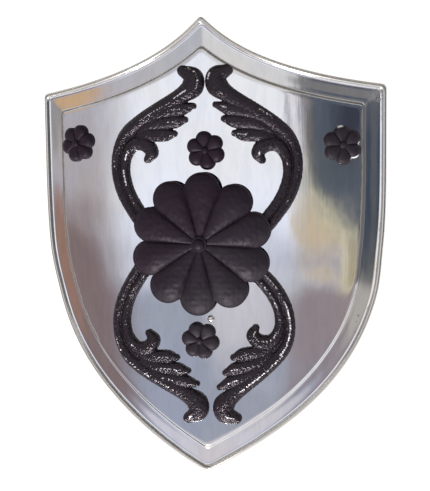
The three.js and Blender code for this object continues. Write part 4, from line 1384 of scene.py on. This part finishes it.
def build_world(studio):
    """Soft light all round, with softly edged cards that the steel mirrors."""
    world = bpy.data.worlds.new("studio")
    bpy.context.scene.world = world
    world.use_nodes = True
    tree = world.node_tree
    tree.nodes.clear()
    way = add(tree, "ShaderNodeTexCoord").outputs["Generated"]
    parts = add(tree, "ShaderNodeSeparateXYZ", {"Vector": way}).outputs
    across = maths(tree, "DEGREES", maths(tree, "ARCTAN2", parts["X"], parts["Z"]))
    along = maths(tree, "DEGREES", maths(tree, "ARCSINE", parts["Y"]))
    group = card_group()
    light = add(tree, "ShaderNodeRGB").outputs[0]
    light.default_value = (*(value * SKY_GAIN * tone for value, tone in zip(studio.sky, SKY_TONE)), 1)
    for card_colour, *place in CARDS:
        card = add(tree, "ShaderNodeGroup", node_tree=group)
        tree.links.new(across, card.inputs["Across"])
        tree.links.new(along, card.inputs["Along"])
        for name, value in zip(CARD_VALUES, place):
            card.inputs[name].default_value = value
        light = mix(tree, card.outputs["Mask"], light, card_colour)
    background = add(tree, "ShaderNodeBackground", {"Color": light, "Strength": 1.0})
    output = add(tree, "ShaderNodeOutputWorld")
    tree.links.new(background.outputs[0], output.inputs[0])


FLOOR_REACH = 14
FLOOR_GLOW = 0.98


def floor_material(studio):
    """Pale matt floor that glows, so that it stays even. It isn't seen from below."""
    material, tree, shader = new_material("pale_floor")
    shader.inputs["Base Color"].default_value = (*studio.floor, 1)
    shader.inputs["Roughness"].default_value = 0.9
    shader.inputs["Specular IOR Level"].default_value = 0.1
    shader.inputs["Emission Color"].default_value = (1, 1, 1, 1)
    shader.inputs["Emission Strength"].default_value = FLOOR_GLOW
    behind = add(tree, "ShaderNodeNewGeometry").outputs["Backfacing"]
    clear = add(tree, "ShaderNodeBsdfTransparent")
    both = add(tree, "ShaderNodeMixShader", {0: behind, 1: shader.outputs[0], 2: clear.outputs[0]})
    output = next(node for node in tree.nodes if node.type == "OUTPUT_MATERIAL")
    tree.links.new(both.outputs[0], output.inputs[0])
    return material


def build_floor(studio):
    """A wide flat floor under the rim."""
    signs = ((-1, -1), (1, -1), (1, 1), (-1, 1))
    corners = [(FLOOR_REACH * x, FLOOR_REACH * y, 0) for x, y in signs]
    mesh = bpy.data.meshes.new("floor")
    mesh.from_pydata(corners, [], [(0, 1, 2, 3)])
    floor = bpy.data.objects.new("floor", mesh)
    bpy.context.scene.collection.objects.link(floor)
    mesh.materials.append(floor_material(studio))


def build_camera(studio, sheet):
    """The camera stands at the photograph's angle to the shield's face and looks down on it.

    In the shield's own frame the way to the camera is (sin side cos rise, sin rise, cos side
    cos rise). The same lean and offset as the shield's then apply.
    """
    side, rise, roll = studio.camera_side, studio.camera_rise, studio.camera_roll
    way = np.array([math.sin(side) * math.cos(rise), math.sin(rise), math.cos(side) * math.cos(rise)])
    level = np.array([math.cos(side), 0, -math.sin(side)])
    upright = np.cross(way, level)
    right = math.cos(roll) * level - math.sin(roll) * upright
    up = math.sin(roll) * level + math.cos(roll) * upright
    eye = way * studio.camera_distance + (0, FACE_POINT_Y, 0)
    axes = tipped(np.array([right, up, way]))
    place = tipped(eye) + resting_place(sheet)
    data = bpy.data.cameras.new("camera")
    data.sensor_width = SENSOR
    data.lens = FOCAL * SENSOR / PHOTO_HIGH
    data.shift_x = (PHOTO_WIDE / 2 - AXIS_ACROSS) / PHOTO_HIGH
    data.shift_y = -(PHOTO_HIGH / 2 - AXIS_DOWN) / PHOTO_HIGH
    data.clip_start, data.clip_end = 0.05, 60
    camera = bpy.data.objects.new("camera", data)
    bpy.context.scene.collection.objects.link(camera)
    turned = Matrix([list(axes[:, k]) for k in range(3)])
    camera.matrix_world = Matrix.Translation(Vector(place)) @ turned.to_4x4()
    bpy.context.scene.camera = camera


LAMP_PLACE = (-0.25, -1.43, 1.05)
LAMP_SIZE = 0.25
LAMP_POWER = 24
LAMP_TINT = (1, 0.98, 0.95)


def build_lamp():
    """A small square lamp before the foot that points at the middle of the shield."""
    data = bpy.data.lights.new("foot_lamp", "AREA")
    data.size, data.energy, data.color = LAMP_SIZE, LAMP_POWER, LAMP_TINT
    lamp = bpy.data.objects.new("foot_lamp", data)
    bpy.context.scene.collection.objects.link(lamp)
    lamp.location = LAMP_PLACE
    lamp.rotation_euler = (-Vector(LAMP_PLACE)).to_track_quat("-Z", "Y").to_euler()


# Operators


class SHIELD_OT_stage(bpy.types.Operator):
    """Make the floor, the light and the camera"""

    bl_idname = "shield.stage"
    bl_label = "Stage"

    def execute(self, context):
        scene = context.scene
        scene.view_settings.view_transform = "Standard"
        build_floor(scene.shield_studio)
        build_world(scene.shield_studio)
        build_camera(scene.shield_studio, scene.shield_sheet)
        build_lamp()
        return {"FINISHED"}


class SHIELD_OT_sheet(bpy.types.Operator):
    """Make the rolled steel sheet"""

    bl_idname = "shield.sheet"
    bl_label = "Steel sheet"

    def execute(self, context):
        build_sheet(context.scene.shield_sheet, bpy.data.materials["buffed_steel"])
        return {"FINISHED"}


class SHIELD_OT_scrolls(bpy.types.Operator):
    """Make the four scroll castings"""

    bl_idname = "shield.scrolls"
    bl_label = "Scrolls"

    def execute(self, context):
        scene = context.scene
        build_scrolls(scene.shield_sheet, scene.shield_ornament, bpy.data.materials["painted_casting"])
        return {"FINISHED"}


class SHIELD_OT_rosette(bpy.types.Operator):
    """Make the large rosette"""

    bl_idname = "shield.rosette"
    bl_label = "Rosette"

    def execute(self, context):
        scene = context.scene
        build_rosette(scene.shield_sheet, scene.shield_ornament, bpy.data.materials["satin_paint"])
        return {"FINISHED"}


class SHIELD_OT_flowers(bpy.types.Operator):
    """Make the four small flowers"""

    bl_idname = "shield.flowers"
    bl_label = "Flowers"

    def execute(self, context):
        scene = context.scene
        build_flowers(scene.shield_sheet, scene.shield_ornament, bpy.data.materials["satin_paint"])
        return {"FINISHED"}


class SHIELD_OT_rivets(bpy.types.Operator):
    """Make the rivets"""

    bl_idname = "shield.rivets"
    bl_label = "Rivets"

    def execute(self, context):
        scene = context.scene
        materials = bpy.data.materials
        build_rivets(
            scene.shield_sheet, scene.shield_ornament, materials["satin_paint"], materials["buffed_steel"]
        )
        return {"FINISHED"}


class SHIELD_OT_grip(bpy.types.Operator):
    """Make the strap grip on the back"""

    bl_idname = "shield.grip"
    bl_label = "Grip"

    def execute(self, context):
        scene = context.scene
        build_grip(scene.shield_sheet, scene.shield_ornament, bpy.data.materials["buffed_steel"])
        return {"FINISHED"}


class SHIELD_OT_finishes(bpy.types.Operator):
    """Make the steel and the two black paints"""

    bl_idname = "shield.finishes"
    bl_label = "Finishes"

    def execute(self, context):
        scene = context.scene
        steel_material(scene.shield_sheet)
        group = cast_grain_group()
        casting_material(scene.shield_ornament, group)
        satin_material(scene.shield_ornament, group)
        return {"FINISHED"}


OPERATORS = (
    SHIELD_OT_stage,
    SHIELD_OT_finishes,
    SHIELD_OT_sheet,
    SHIELD_OT_scrolls,
    SHIELD_OT_rosette,
    SHIELD_OT_flowers,
    SHIELD_OT_rivets,
    SHIELD_OT_grip,
)


class SHIELD_PT_panel(bpy.types.Panel):
    """Lists what the shield is made of."""

    bl_idname = "SHIELD_PT_panel"
    bl_label = "Heater Shield"
    bl_space_type = "VIEW_3D"
    bl_region_type = "UI"
    bl_category = "Shield"

    def draw(self, context):
        scene = context.scene
        for operator in OPERATORS:
            self.layout.operator(operator.bl_idname)
        for group in (scene.shield_sheet, scene.shield_ornament, scene.shield_studio):
            for name in group.__annotations__:
                self.layout.prop(group, name)


CLASSES = (SheetSizes, OrnamentSizes, StudioSettings, *OPERATORS, SHIELD_PT_panel)


def register():
    for cls in CLASSES:
        bpy.utils.register_class(cls)
    bpy.types.Scene.shield_sheet = PointerProperty(type=SheetSizes)
    bpy.types.Scene.shield_ornament = PointerProperty(type=OrnamentSizes)
    bpy.types.Scene.shield_studio = PointerProperty(type=StudioSettings)


def unregister():
    del bpy.types.Scene.shield_studio
    del bpy.types.Scene.shield_ornament
    del bpy.types.Scene.shield_sheet
    for cls in reversed(CLASSES):
        bpy.utils.unregister_class(cls)


def main():
    register()
    for operator in OPERATORS:
        group, name = operator.bl_idname.split(".")
        getattr(getattr(bpy.ops, group), name)()


if __name__ == "__main__":
    main()
